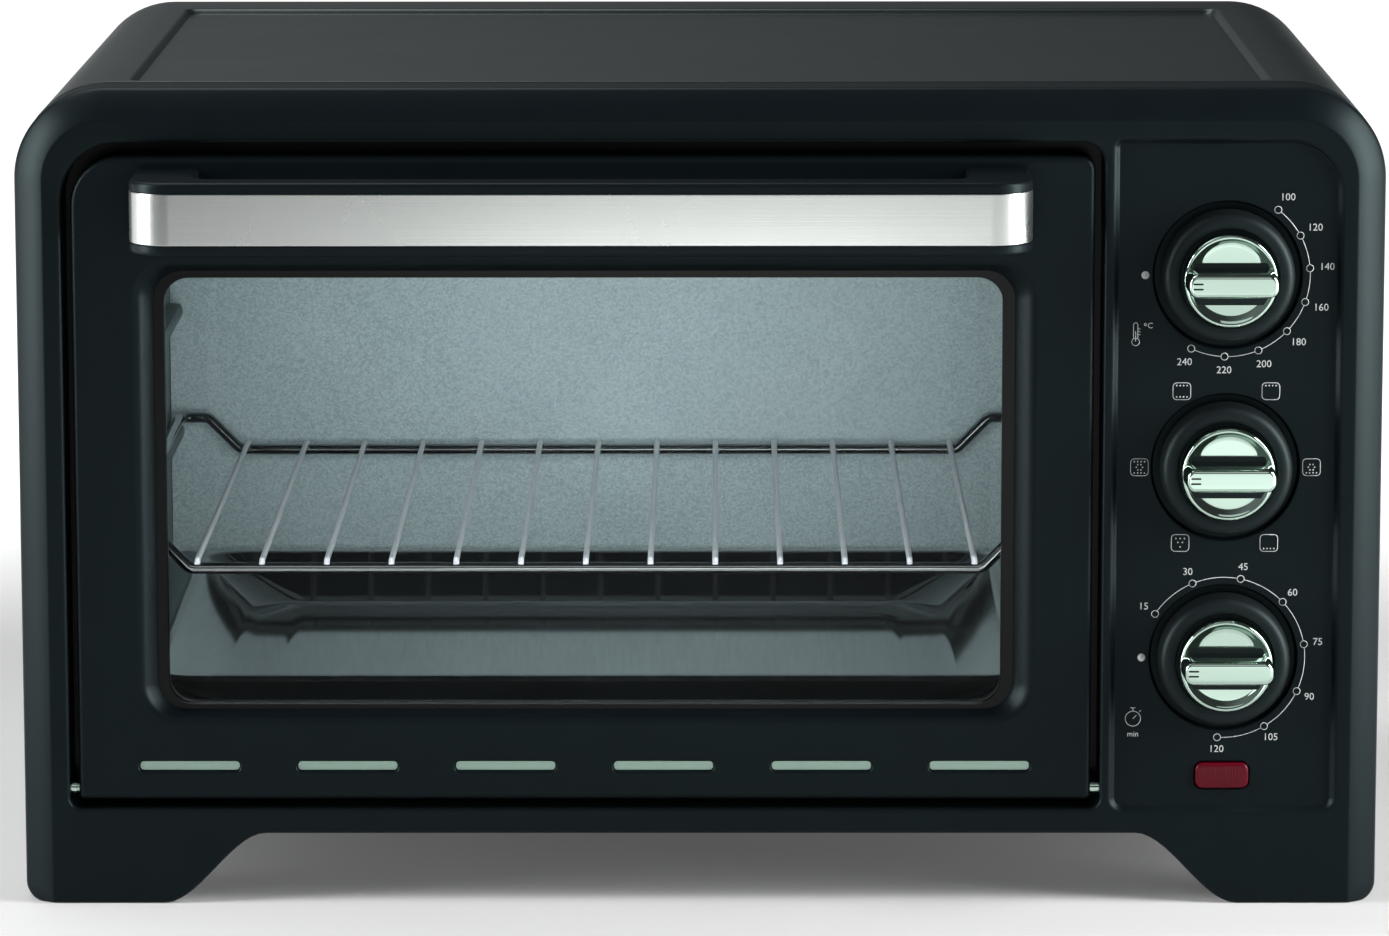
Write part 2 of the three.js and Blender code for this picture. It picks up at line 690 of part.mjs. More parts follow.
function ringSector(radius, bar, from, to) {
  const toRadians = THREE.MathUtils.degToRad;
  const shape = new THREE.Shape();
  shape.absarc(0, 0, radius + bar / 2, toRadians(from), toRadians(to), from > to);
  shape.absarc(0, 0, radius - bar / 2, toRadians(to), toRadians(from), from < to);
  return shape;
}

function armX(side) {
  return side < 0 ? LINER.x0 - LINER_SHEET - ARM_LANE : LINER.x1 + LINER_SHEET + ARM_LANE;
}

// Each stop arm is an arc about the hinge axis, so it slides through its slot as the door drops.
function stopArms() {
  const detail = { curveSegments: 10 };
  for (const [name, side] of [["door_arm_left", -1], ["door_arm_right", 1]]) {
    const middle = armX(side);
    const x0 = middle - ARM_SHEET / 2;
    const x1 = middle + ARM_SHEET / 2;
    const arc = alongX(ringSector(ARM_RADIUS, ARM_BAR, ARM_END - ARM_HEAD, ARM_START), x0, x1, detail);
    const head = alongX(ringSector(ARM_RADIUS, ARM_HEAD_BAR, ARM_END - ARM_HEAD, ARM_END), x0, x1, detail);
    const rise = ARM_RADIUS * Math.sin(THREE.MathUtils.degToRad(ARM_START));
    const tab = box(
      x0, x1,
      depth(ARM_TAB_DEPTH), depth(ARM_TAB_DEPTH + ARM_TAB),
      HINGE.z + rise - ARM_TAB_BELOW, HINGE.z + rise + ARM_TAB_ABOVE,
    );
    const arm = arc.add(head).translate([0, depth(HINGE.depth), HINGE.z]);
    part(name, arm.add(tab), steel);
  }
}

class Helix extends THREE.Curve {
  getPoint(t, target = new THREE.Vector3()) {
    const angle = 2 * Math.PI * SPRING_TURNS * t;
    return target.set(SPRING_RADIUS * Math.cos(angle), SPRING_LENGTH * t, SPRING_RADIUS * Math.sin(angle));
  }
}

function doorSprings() {
  const start = HINGE.depth + ARM_RADIUS + ARM_HEAD_BAR;
  for (const [name, side] of [["door_spring_left", -1], ["door_spring_right", 1]]) {
    const coil = tube(new Helix(), SPRING_WIRE / 2, 4, SPRING_TURNS * 7);
    part(name, coil.translate([armX(side), depth(start), SPRING_Z]), steel);
  }
}

// ---- liner ----

function frontFrame() {
  const plate = roundedRect(inset(OPENING, GAP), OPENING_CORNERS.map((radius) => radius - GAP));
  const mouth = { ...LINER, z0: LINER.z0 + MOUTH_LIP };
  plate.holes.push(roundedRect(mouth, LINER_CORNER));
  let body = alongY(plate, depth(FRAME_DEPTH), depth(FRAME_DEPTH + LINER_SHEET));
  const level = FRAME_DEPTH + LINER_SHEET / 2 - HINGE.depth;
  const slotZ = HINGE.z + Math.sqrt(ARM_RADIUS ** 2 - level ** 2);
  const high = ARM_BAR / 2 + ARM_SLOT_SPACE;
  for (const side of [-1, 1]) {
    const middle = armX(side);
    const x0 = middle - ARM_SHEET / 2 - 2 * GAP;
    const x1 = middle + ARM_SHEET / 2 + 2 * GAP;
    body = body.subtract(box(x0, x1, depth(0), depth(BEZEL_DEPTH), slotZ - high, slotZ + high));
  }
  part("cavity_front_frame", body, liner);
}

function fanZ() {
  return (LINER.z0 + LINER.z1) / 2 + FAN_LIFT;
}

function rodPlaces() {
  return [
    ["upper_front", ROD_FRONT, LINER.z1 - ROD_CEILING],
    ["upper_rear", ROD_FRONT + ROD_SPACING, LINER.z1 - ROD_CEILING],
    ["lower_front", ROD_FRONT, LINER.z0 + ROD_FLOOR],
    ["lower_rear", ROD_FRONT + ROD_SPACING, LINER.z0 + ROD_FLOOR],
  ];
}

function guide(side, reach, top) {
  const wall = side < 0 ? LINER.x0 : LINER.x1;
  const x0 = side < 0 ? wall - LINER_SHEET / 2 : wall - reach;
  const x1 = side < 0 ? wall + reach : wall + LINER_SHEET / 2;
  return box(x0, x1, depth(GUIDE_START), depth(LINER.end - RACK_REAR_SPACE), top - GUIDE_HEIGHT, top);
}

function linerShell() {
  const shape = roundedRect(inset(LINER, -LINER_SHEET), LINER_CORNER + LINER_SHEET);
  shape.holes.push(roundedRect(LINER, LINER_CORNER));
  let body = alongY(shape, depth(LINER.start), depth(LINER.end), { curveSegments: 3 });
  for (const side of [-1, 1]) {
    body = body.add(guide(side, TRAY_GUIDE, TRAY_GUIDE_TOP));
    body = body.add(guide(side, RACK_GUIDE, RACK_GUIDE_TOP));
    body = body.add(guide(side, RACK_GUIDE, RACK_GUIDE_TOP + UPPER_GUIDE_RISE));
  }
  for (const [, y, z] of rodPlaces()) {
    body = body.subtract(cylinderX(depth(y), z, ROD_RADIUS + GAP, LEFT, RIGHT));
  }
  const port = cylinderX(depth(FAN_DEPTH), fanZ(), FAN_RADIUS, LINER.x1 - GAP, RIGHT, 20);
  part("cavity_shell", body.subtract(port), liner);
}

function linerBack() {
  const shape = roundedRect(inset(LINER, GAP), LINER_CORNER - GAP);
  const start = LINER.end - 2 * LINER_SHEET;
  part("cavity_back", alongY(shape, depth(start), depth(start + LINER_SHEET), { curveSegments: 3 }), liner);
}

function heatingRods() {
  const x0 = LINER.x0 - LINER_SHEET - BUSH_LENGTH;
  const x1 = LINER.x1 + LINER_SHEET + BUSH_LENGTH;
  for (const [place, y, z] of rodPlaces()) {
    const profile = [
      [0, x0 - ROD_PIN], [ROD_PIN_RADIUS, x0 - ROD_PIN], [ROD_PIN_RADIUS, x0], [ROD_RADIUS, x0],
      [ROD_RADIUS, x1], [ROD_PIN_RADIUS, x1], [ROD_PIN_RADIUS, x1 + ROD_PIN], [0, x1 + ROD_PIN],
    ];
    const rod = turnedAlongX(profile, SMALL_SIDES).translate([0, depth(y), z]);
    part(`heating_element_${place}`, rod, rodSheath);
    for (const [end, side] of [["left", -1], ["right", 1]]) {
      const start = (side < 0 ? x0 : x1 - BUSH_LENGTH) + side * GAP;
      const bore = ROD_RADIUS + GAP;
      const ring = [
        [bore, start], [BUSH_RADIUS, start], [BUSH_RADIUS, start + BUSH_LENGTH - GAP],
        [bore, start + BUSH_LENGTH - GAP], [bore, start],
      ];
      const bush = turnedAlongX(ring, SMALL_SIDES).translate([0, depth(y), z]);
      part(`element_bush_${place}_${end}`, bush, ceramic);
    }
  }
}

// ---- rack and tray ----

// The rim rod drops between the side rails, so the wires hang lower than the guides.
function rackRim() {
  const middle = (LINER.x0 + LINER.x1) / 2;
  const half = LINER_HALF - RACK_SIDE_SPACE;
  const front = depth(RACK_FRONT) + RAIL_RADIUS;
  const rear = depth(LINER.end - RACK_REAR_SPACE) - RAIL_RADIUS;
  const low = RACK_Z - RACK_DROP;
  const shoulder = half - RACK_JOG;
  const hang = shoulder - RACK_DROP;
  const corners = (y) => [
    [middle - half, y, RACK_Z],
    [middle - shoulder, y, RACK_Z],
    [middle - hang, y, low],
    [middle + hang, y, low],
    [middle + shoulder, y, RACK_Z],
    [middle + half, y, RACK_Z],
  ];
  const loop = [...corners(front), ...corners(rear).reverse()];
  const rods = loop.map((point, i) => {
    const next = loop[(i + 1) % loop.length];
    return tube(straight(point, next), RAIL_RADIUS, RAIL_SIDES, 1);
  });
  const knees = loop.map((point) => {
    const ball = new THREE.SphereGeometry(RAIL_RADIUS, RAIL_SIDES, 4);
    return solid(ball).translate(point);
  });
  return joined([...rods, ...knees]);
}

function wireRack() {
  const middle = (LINER.x0 + LINER.x1) / 2;
  const z = RACK_Z - RACK_DROP + RAIL_RADIUS + WIRE_RADIUS / 2;
  const y0 = depth(RACK_FRONT) + WIRE_RADIUS;
  const y1 = depth(LINER.end - RACK_REAR_SPACE) - WIRE_RADIUS;
  let body = rackRim();
  for (let i = 0; i < WIRE_COUNT; i += 1) {
    const x = middle + (i - (WIRE_COUNT - 1) / 2) * WIRE_PITCH;
    body = body.add(tube(straight([x, y0, z], [x, y1, z]), WIRE_RADIUS, WIRE_SIDES, 1));
  }
  part("wire_rack", body, chrome);
}

// The tray's hollow form as a frustum: outside with no sheet taken off, inside with its thickness.
function basin(top, bottom, sheet) {
  const width = 2 * (LINER_HALF - TRAY_SIDE_SPACE - TRAY_RIM - sheet);
  const y0 = depth(TRAY_FRONT + TRAY_RIM) + sheet;
  const y1 = depth(LINER.end - TRAY_REAR_SPACE - TRAY_RIM) - sheet;
  const upper = Math.SQRT1_2 * width;
  const lower = upper * (1 - (2 * TRAY_SLOPE) / width);
  const cone = new THREE.CylinderGeometry(upper, lower, top - bottom, 4, 1);
  cone.rotateY(Math.PI / 4).rotateX(Math.PI / 2);
  const middle = (LINER.x0 + LINER.x1) / 2;
  return solid(cone.scale(1, (y1 - y0) / width, 1).translate(middle, (y0 + y1) / 2, (top + bottom) / 2));
}

function bakingTray() {
  const area = {
    x0: LINER.x0 + TRAY_SIDE_SPACE,
    x1: LINER.x1 - TRAY_SIDE_SPACE,
    z0: depth(TRAY_FRONT),
    z1: depth(LINER.end - TRAY_REAR_SPACE),
  };
  const floor = TRAY_RIM_Z - TRAY_BASIN;
  const rim = alongZ(roundedRect(area, TRAY_CORNER), TRAY_RIM_Z - TRAY_SHEET, TRAY_RIM_Z);
  const outside = basin(TRAY_RIM_Z, floor, 0);
  const inside = basin(TRAY_RIM_Z + GAP, floor + TRAY_SHEET, TRAY_SHEET);
  part("baking_tray", rim.add(outside).subtract(inside), enamel);
}

// ---- controls ----

function knob(name, z) {
  const group = new THREE.Group();
  group.position.set(PANEL_X, FRONT, z);
  root.add(group);
  const back = PANEL_RECESS + WELL_DEPTH - SKIRT_SPACE;
  const bore = SHAFT_RADIUS + GAP;
  const seat = SKIRT_FACE - SKIRT_FRONT;
  const skirt = turned([
    [0, -SKIRT_FRONT], [SKIRT_RADIUS - KNOB_EDGE, -SKIRT_FRONT],
    [SKIRT_RADIUS - KNOB_DRAFT, KNOB_EDGE - SKIRT_FRONT],
    [SKIRT_RADIUS, back], [bore, back], [bore, seat], [0, seat],
  ]);
  part(`${name}_knob`, skirt, charcoal, group);
  const base = turned([
    [0, -CAP_FRONT], [CAP_RADIUS - KNOB_EDGE, -CAP_FRONT], [CAP_RADIUS, KNOB_EDGE - CAP_FRONT],
    [CAP_RADIUS, -SKIRT_FRONT - GAP], [0, -SKIRT_FRONT - GAP],
  ], 24);
  const bar = {
    x0: -GRIP_LENGTH / 2,
    x1: GRIP_LENGTH / 2,
    z0: -GRIP_WIDTH / 2,
    z1: GRIP_WIDTH / 2,
  };
  const grip = alongY(roundedRect(bar, GRIP_WIDTH / 3), -GRIP_FRONT, -CAP_FRONT + 1, { curveSegments: 3 });
  part(`${name}_knob_cap`, base.add(grip), chrome, group);
  const shaft = turned([
    [0, seat + GAP], [SHAFT_RADIUS, seat + GAP],
    [SHAFT_RADIUS, BRACKET_DEPTH + SHAFT_BITE], [0, BRACKET_DEPTH + SHAFT_BITE],
  ], SMALL_SIDES);
  part(`${name}_shaft`, shaft, steel, group);
}

function controlBody(z, { width, height, length }) {
  const start = BRACKET_DEPTH + SHEET + GAP;
  const bore = cylinderY(PANEL_X, z, SHAFT_RADIUS + GAP, depth(0), depth(BRACKET_DEPTH + SWITCH_BORE));
  const body = box(
    PANEL_X - width / 2, PANEL_X + width / 2,
    depth(start), depth(start + length),
    z - height / 2, z + height / 2,
  );
  return body.subtract(bore);
}

function controls() {
  const [high, middle, low] = knobHeights();
  knob("thermostat", high);
  knob("function", middle);
  knob("timer", low);
  part("thermostat_body", controlBody(high, THERMOSTAT), ceramic);
  part("function_switch_body", controlBody(middle, SWITCH), plastic);
  part("timer_body", controlBody(low, TIMER), plastic);
  const bellDepth = BRACKET_DEPTH + SHEET + 2 * GAP + TIMER.length;
  const bell = turned([
    [0, 0], [BELL_RADIUS - 1, 0], [BELL_RADIUS, BELL_HEIGHT / 2],
    [BELL_RADIUS * 0.67, BELL_HEIGHT - 1], [0, BELL_HEIGHT],
  ], 18);
  part("timer_bell", bell.translate([PANEL_X, depth(bellDepth), low]), brass);
}

function capillary() {
  const [high] = knobHeights();
  const start = BRACKET_DEPTH + SHEET + 2 * GAP + THERMOSTAT.length;
  const bulbX = LINER.x1 + LINER_SHEET + BULB_SPACE;
  const bulbZ = LINER.z1 - BULB_DROP;
  const reach = (share) => depth(start + CAPILLARY_REACH * share);
  const route = new THREE.CatmullRomCurve3([
    new THREE.Vector3(PANEL_X, reach(0), high),
    new THREE.Vector3(PANEL_X, reach(0.2), high + 2),
    new THREE.Vector3((PANEL_X + bulbX) / 2, reach(0.55), bulbZ + 8),
    new THREE.Vector3(bulbX, reach(0.8), bulbZ),
    new THREE.Vector3(bulbX, reach(1), bulbZ),
  ]);
  const line = tube(route, CAPILLARY_RADIUS, 6, 20);
  const bulbStart = reach(0.95);
  const bulb = cylinderY(bulbX, bulbZ, BULB_RADIUS, bulbStart, bulbStart + BULB_LENGTH);
  part("thermostat_bulb", line.add(bulb), brass);
}

function controlBracket() {
  const area = {
    x0: PANEL.x0 + BRACKET_INSET,
    x1: RIGHT - BEZEL_WALL - BRACKET_INSET,
    z0: PANEL.z0 + PANEL_WALL + BRACKET_INSET,
    z1: PANEL.z1 - BRACKET_INSET,
  };
  const shape = roundedRect(area, BRACKET_CORNER);
  for (const z of knobHeights()) shape.holes.push(disc(PANEL_X, z, SHAFT_RADIUS + SHAFT_SPACE));
  part("control_bracket", alongY(shape, depth(BRACKET_DEPTH), depth(BRACKET_DEPTH + SHEET)), steel);
}

function lamp() {
  const collar = PANEL_BACK + GAP;
  const lens = alongY(lensShape(0), depth(LENS_SETBACK), depth(collar + LENS_FLANGE / 2));
  const flange = alongY(lensShape(LENS_FLANGE), depth(collar), depth(collar + LENS_FLANGE));
  part("lamp_lens", lens.add(flange), redLens);
  const holder = alongY(lensShape(0), depth(collar + LENS_FLANGE + GAP), depth(BRACKET_DEPTH - GAP));
  part("lamp_holder", holder, plastic);
}

// ---- fan and mains parts ----

function fan() {
  const group = new THREE.Group();
  const wall = LINER.x1 + LINER_SHEET + GAP;
  group.position.set(wall, depth(FAN_DEPTH), fanZ());
  root.add(group);
  const screen = disc(0, 0, FAN_CASE_RADIUS);
  for (let i = 0; i < BLADES; i += 1) {
    const angle = (2 * Math.PI * (i + 0.5)) / BLADES;
    const across = GRILLE_RING * Math.cos(angle);
    const up = GRILLE_RING * Math.sin(angle);
    screen.holes.push(disc(across, up, GRILLE_HOLE));
  }
  part("fan_grille", alongX(screen, 0, LINER_SHEET, { curveSegments: 6 }), liner, group);
  const mouth = LINER_SHEET + GAP;
  const end = mouth + FAN_CASE_DEPTH;
  const caseWall = turnedAlongX([
    [FAN_CASE_BORE, end], [FAN_CASE_BORE, end - SHEET], [FAN_CASE_RADIUS - SHEET, end - SHEET],
    [FAN_CASE_RADIUS - SHEET, mouth], [FAN_CASE_RADIUS, mouth], [FAN_CASE_RADIUS, end],
    [FAN_CASE_BORE, end],
  ], 20);
  part("fan_housing", caseWall, steel, group);
  const front = mouth + BLADE_SPACE;
  const rear = end - SHEET - BLADE_SPACE + 1;
  const hub = cylinderX(0, 0, HUB_RADIUS, front, rear);
  const plate = cylinderX(0, 0, FAN_RADIUS, rear - 2, rear - 0.5, 20);
  const shaft = cylinderX(0, 0, FAN_SHAFT_RADIUS, front, end + FAN_SHAFT_BITE);
  const blades = Array.from({ length: BLADES }, (_, i) => {
    const blade = box(front, rear - 1, HUB_RADIUS - 1, FAN_RADIUS - 1, -BLADE_SHEET / 2, BLADE_SHEET / 2);
    return blade.rotate([(360 * i) / BLADES, 0, 0]);
  });
  part("fan_impeller", joined([hub, plate, shaft, ...blades]), liner, group);
  const half = MOTOR_SIZE / 2;
  const motor = box(end + GAP, end + GAP + MOTOR_LENGTH, -half, half, -half, half);
  const bore = cylinderX(0, 0, FAN_SHAFT_RADIUS + 2 * GAP, end, end + FAN_SHAFT_BITE + 2);
  part("fan_motor", motor.subtract(bore), plastic, group);
}

function mainsParts() {
  const start = LINER.end - TERMINAL_SPACE;
  const seat = BASE_Z + SHEET + GAP;
  const block = box(
    PANEL_X - TERMINAL.width / 2, PANEL_X + TERMINAL.width / 2,
    depth(start), depth(start + TERMINAL.length),
    seat, seat + TERMINAL.height,
  );
  part("terminal_block", block, ceramic);
  const face = REAR_PANEL_DEPTH + SHEET + GAP;
  const neck = cylinderY(PANEL_X, GLAND_Z, GLAND_RADIUS, depth(face - GLAND_NECK), depth(face + 1), 16);
  const reach = GLAND_RADIUS + GLAND_FLANGE;
  const flange = cylinderY(PANEL_X, GLAND_Z, reach, depth(face), depth(BODY_DEPTH), 16);
  part("cord_gland", neck.add(flange), rubber);
}

function heatShield() {
  const x = LINER.x1 + LINER_SHEET + BUSH_LENGTH + ROD_PIN + SHIELD_SPACE;
  const y0 = depth(BEZEL_DEPTH + SHIELD_START);
  const z0 = LINER.z0 + SHIELD_RISE;
  const z1 = LINER.z1 - SHIELD_DROP;
  part("heat_shield", box(x, x + LINER_SHEET, y0, y0 + SHIELD_LENGTH, z0, z1), liner);
}

frontBezel();
outerCover();
rearPanel();
basePlate();
rearFeet();
doorFrame();
doorGlass();
doorInnerFrame();
handleBar();
handleTrim();
hingePins();
stopArms();
doorSprings();
frontFrame();
linerShell();
linerBack();
heatingRods();
wireRack();
bakingTray();
controls();
capillary();
controlBracket();
lamp();
fan();
mainsParts();
heatShield();

export default root;
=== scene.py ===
# %% [markdown]
# # A toaster oven with a drop-down glass door
# The oven is a folded black steel casing behind a moulded plastic bezel. A glass door hangs on two
# pins at the lower edge, three dials sit in a recessed panel, and a wire rack and a tray stand in a
# bright steel liner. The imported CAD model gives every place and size. Each cell below builds one
# piece or one finish around it.

# %% Load the frame
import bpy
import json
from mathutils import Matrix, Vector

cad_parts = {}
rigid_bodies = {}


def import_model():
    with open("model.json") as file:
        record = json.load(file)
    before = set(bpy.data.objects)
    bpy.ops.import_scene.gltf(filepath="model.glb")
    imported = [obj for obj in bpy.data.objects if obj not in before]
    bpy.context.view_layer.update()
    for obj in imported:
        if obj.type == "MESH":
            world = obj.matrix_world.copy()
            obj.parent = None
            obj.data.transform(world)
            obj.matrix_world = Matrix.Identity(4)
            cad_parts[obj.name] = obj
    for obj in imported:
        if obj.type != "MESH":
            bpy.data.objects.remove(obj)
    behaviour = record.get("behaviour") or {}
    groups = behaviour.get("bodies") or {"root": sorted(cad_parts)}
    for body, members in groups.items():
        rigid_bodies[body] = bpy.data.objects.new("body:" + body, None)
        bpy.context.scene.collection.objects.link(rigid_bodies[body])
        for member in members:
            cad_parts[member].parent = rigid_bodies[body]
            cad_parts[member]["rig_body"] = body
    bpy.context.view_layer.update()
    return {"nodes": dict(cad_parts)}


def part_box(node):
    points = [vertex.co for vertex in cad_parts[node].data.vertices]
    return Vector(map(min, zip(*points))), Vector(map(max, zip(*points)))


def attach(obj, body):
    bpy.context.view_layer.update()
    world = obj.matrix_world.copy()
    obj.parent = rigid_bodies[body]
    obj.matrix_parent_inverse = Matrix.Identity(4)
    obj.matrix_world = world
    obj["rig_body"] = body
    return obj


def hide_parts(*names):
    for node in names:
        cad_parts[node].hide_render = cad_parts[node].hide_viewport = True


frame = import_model()

import json
import math
from collections import namedtuple

import bmesh
import bpy
from mathutils import Matrix, Vector
from mathutils.geometry import tessellate_polygon

# %% [markdown]
# ## Millimetres and depths
# The oven is drawn in millimetres, with depths counted back from the bezel's front face, as a maker
# would give them. `place` reads a CAD node's box in those units, so a piece that replaces a node
# takes its size from the node and can't drift from it. `mesh_of` turns drawn faces into a mesh.

# %% Units and places
MM = 0.001
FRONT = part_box("front_bezel")[0].y
SHEET = 1.2
Place = namedtuple("Place", "x0 x1 d0 d1 z0 z1")
Area = namedtuple("Area", "x0 x1 z0 z1")


def place(node):
    low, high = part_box(node)
    return Place(low.x / MM, high.x / MM, (low.y - FRONT) / MM, (high.y - FRONT) / MM,
                 low.z / MM, high.z / MM)


def area_of(node, by=0.0):
    here = place(node)
    return Area(here.x0 - by, here.x1 + by, here.z0 - by, here.z1 + by)


def grown(area, by):
    return Area(area.x0 - by, area.x1 + by, area.z0 - by, area.z1 + by)


def point(x, depth, z):
    return Vector((x * MM, FRONT + depth * MM, z * MM))


def mesh_of(bm, name):
    mesh = bpy.data.meshes.new(name)
    bm.to_mesh(mesh)
    bm.free()
    return mesh


BEZEL = place("front_bezel")
DOOR = area_of("door_frame")
OPENING = area_of("cavity_front_frame", 0.3)
MULLION = 4.6
PANEL = Area(OPENING.x1 + MULLION, -OPENING.x0, OPENING.z0, OPENING.z1)
PANEL_DEPTH = 2.0
PANEL_X = (PANEL.x0 + PANEL.x1) / 2
GLASS_HELD = 9.0
WINDOW = area_of("door_glass", -GLASS_HELD)
DIALS = {name: (place(f"{name}_knob").z0 + place(f"{name}_knob").z1) / 2 for name in
         ("thermostat", "function", "timer")}
print("opening", OPENING, "panel middle", round(PANEL_X, 2), "dials", DIALS)

# %% [markdown]
# ## The camera
# The oven is seen from the front and a little above, from far enough away that its sides close up
# and only the top shows. A long lens from about two metres and a half gives that. The camera is made
# first, so that each new piece can be looked at as it is added.

# %% Camera
CAMERA_AHEAD = 2.29
CAMERA_HEIGHT = 0.542
CAMERA_SIDE = 0.006
CAMERA_DOWN = 9.55
CAMERA_ROLL = 0.05
CAMERA_LEFT = 0.19
CAMERA_LENS = 171.45
camera = bpy.data.objects.new("camera", bpy.data.cameras.new("camera"))
bpy.context.scene.collection.objects.link(camera)
camera.location = (CAMERA_SIDE, FRONT - CAMERA_AHEAD, CAMERA_HEIGHT)
camera.rotation_euler = [math.radians(turn) for turn in (90 - CAMERA_DOWN, CAMERA_ROLL, CAMERA_LEFT)]
camera.data.sensor_width = 36
camera.data.lens = CAMERA_LENS
camera.data.clip_end = 30
bpy.context.scene.camera = camera
print("camera", tuple(round(v, 3) for v in camera.location))

# %% [markdown]
# ## Wiring shaders
# Every finish is a small diagram of nodes. `Board` adds a node, sets it and joins its inputs in one
# line, so a finish reads from top to bottom. Effects that several finishes share are node groups
# with named sockets: they put out only heights, masks and values, and the shader stays in the
# material.

# %% A board for nodes
class Board:
    def __init__(self, tree):
        self.tree = tree

    def feed(self, socket, value):
        if isinstance(value, bpy.types.NodeSocket):
            self.tree.links.new(value, socket)
        else:
            socket.default_value = value

    def add(self, kind, inputs=None, **settings):
        node = self.tree.nodes.new(kind)
        for name, value in settings.items():
            setattr(node, name, value)
        for name, value in (inputs or {}).items():
            self.feed(node.inputs[name], value)
        return node

    def math(self, operation, *values):
        return self.add("ShaderNodeMath", dict(enumerate(values)), operation=operation).outputs[0]

    def ramp(self, value, start, end, low, high, **settings):
        limits = {"Value": value, "From Min": start, "From Max": end, "To Min": low, "To Max": high}
        return self.add("ShaderNodeMapRange", limits, **settings).outputs[0]

    def noise(self, where, scale, detail, roughness=0.5):
        texture = {"Vector": where, "Scale": scale, "Detail": detail, "Roughness": roughness}
        return self.add("ShaderNodeTexNoise", texture).outputs[0]

    def mix(self, share, first, second):
        node = self.add("ShaderNodeMix", data_type="RGBA")
        for index, value in ((0, share), (6, first), (7, second)):
            self.feed(node.inputs[index], value)
        return node.outputs[2]


def node_tree(name, kind, inputs, outputs):
    """A node group with named sockets; returns its tree, its board and both ends."""
    tree = bpy.data.node_groups.new(name, kind)
    for label, socket_type, value in inputs:
        socket = tree.interface.new_socket(label, in_out="INPUT", socket_type=socket_type)
        if value is not None:
            socket.default_value = value
    for label, socket_type in outputs:
        tree.interface.new_socket(label, in_out="OUTPUT", socket_type=socket_type)
    board = Board(tree)
    start = board.add("NodeGroupInput").outputs
    end = board.add("NodeGroupOutput").inputs
    return tree, board, start, end


# %% [markdown]
# ## Light
# Dark satin plastic shows mostly what it reflects. Tall strip boxes at both sides draw the bright
# lines down the sloping rim, a wide box behind and above lights the casing's top, and a weak one in
# front keeps the face readable. A small card low in front gives the handle's steel its bright middle.
# The surroundings are dark grey for reflections, a little lighter to the left, and white for the
# camera, which is what a white studio cove with black flags does.

# %% World and lamps
scene = bpy.context.scene
scene.view_settings.view_transform = "Standard"
world = bpy.data.worlds.new("studio")
scene.world = world
world.use_nodes = True
world.node_tree.nodes.clear()
studio = Board(world.node_tree)
LEFT_GREY, RIGHT_GREY = 0.20, 0.05
LEFT_END, RIGHT_END = -0.12, 0.14
heading = studio.add("ShaderNodeSeparateXYZ", {0: studio.add("ShaderNodeTexCoord").outputs["Generated"]})
grey = studio.ramp(heading.outputs["X"], LEFT_END, RIGHT_END, LEFT_GREY, RIGHT_GREY)
seen = studio.add("ShaderNodeBackground", {"Color": (1, 1, 1, 1)}).outputs[0]
felt = studio.add("ShaderNodeBackground", {"Color": (0.93, 0.97, 1, 1), "Strength": grey}).outputs[0]
watched = studio.add("ShaderNodeLightPath").outputs["Is Camera Ray"]
chosen = studio.add("ShaderNodeMixShader", {0: watched, 1: felt, 2: seen}).outputs[0]
studio.add("ShaderNodeOutputWorld", {"Surface": chosen})


def softbox(name, centre, size, power, target=(0, 0, 0.15), spread=180, mirrored=True):
    """A rectangular lamp at centre that faces the target; the camera never sees it."""
    lamp = bpy.data.lights.new(name, "AREA")
    lamp.shape = "RECTANGLE"
    lamp.size, lamp.size_y = size
    lamp.energy = power
    lamp.spread = math.radians(spread)
    holder = bpy.data.objects.new(name, lamp)
    scene.collection.objects.link(holder)
    holder.location = centre
    holder.rotation_mode = "QUATERNION"
    holder.rotation_quaternion = (Vector(target) - Vector(centre)).to_track_quat("-Z", "Y")
    holder.visible_camera = False
    holder.visible_glossy = mirrored


softbox("left_strip", (-1.35, -0.42, 0.5), (0.45, 1.2), 34)
softbox("right_strip", (1.25, -0.42, 0.5), (0.5, 1.2), 44)
softbox("overhead", (-0.5, 0.45, 1.6), (1.4, 0.8), 12)
softbox("front_fill", (0.1, -2.6, 1.9), (1.6, 0.8), 3)
softbox("handle_card", (0.0, -0.75, 0.10), (0.22, 0.09), 0.17, target=(-0.02, FRONT, 0.24))

# %% [markdown]
# ## The floor
# The oven stands on a plain pale sheet that runs out of sight. One large face is enough, because it
# isn't part of the oven. A light of the paper's own lets it turn white away from the oven, as a lit
# cove does. Only the camera and mirror-like faces see that light, and mirror-like faces see less of
# it at the front left, so that the steel strip is darker at its left end.

# %% Floor
FLOOR_HALF = 12
PAPER = 0.54
GLOW_START, GLOW_END = 0.42, 1.0
GLOW_LEAST = 0.06
LEFT_START, LEFT_STOP = -0.42, 0.0
LEFT_LEAST = 0.12
BEHIND_START, BEHIND_STOP = -0.45, -0.25


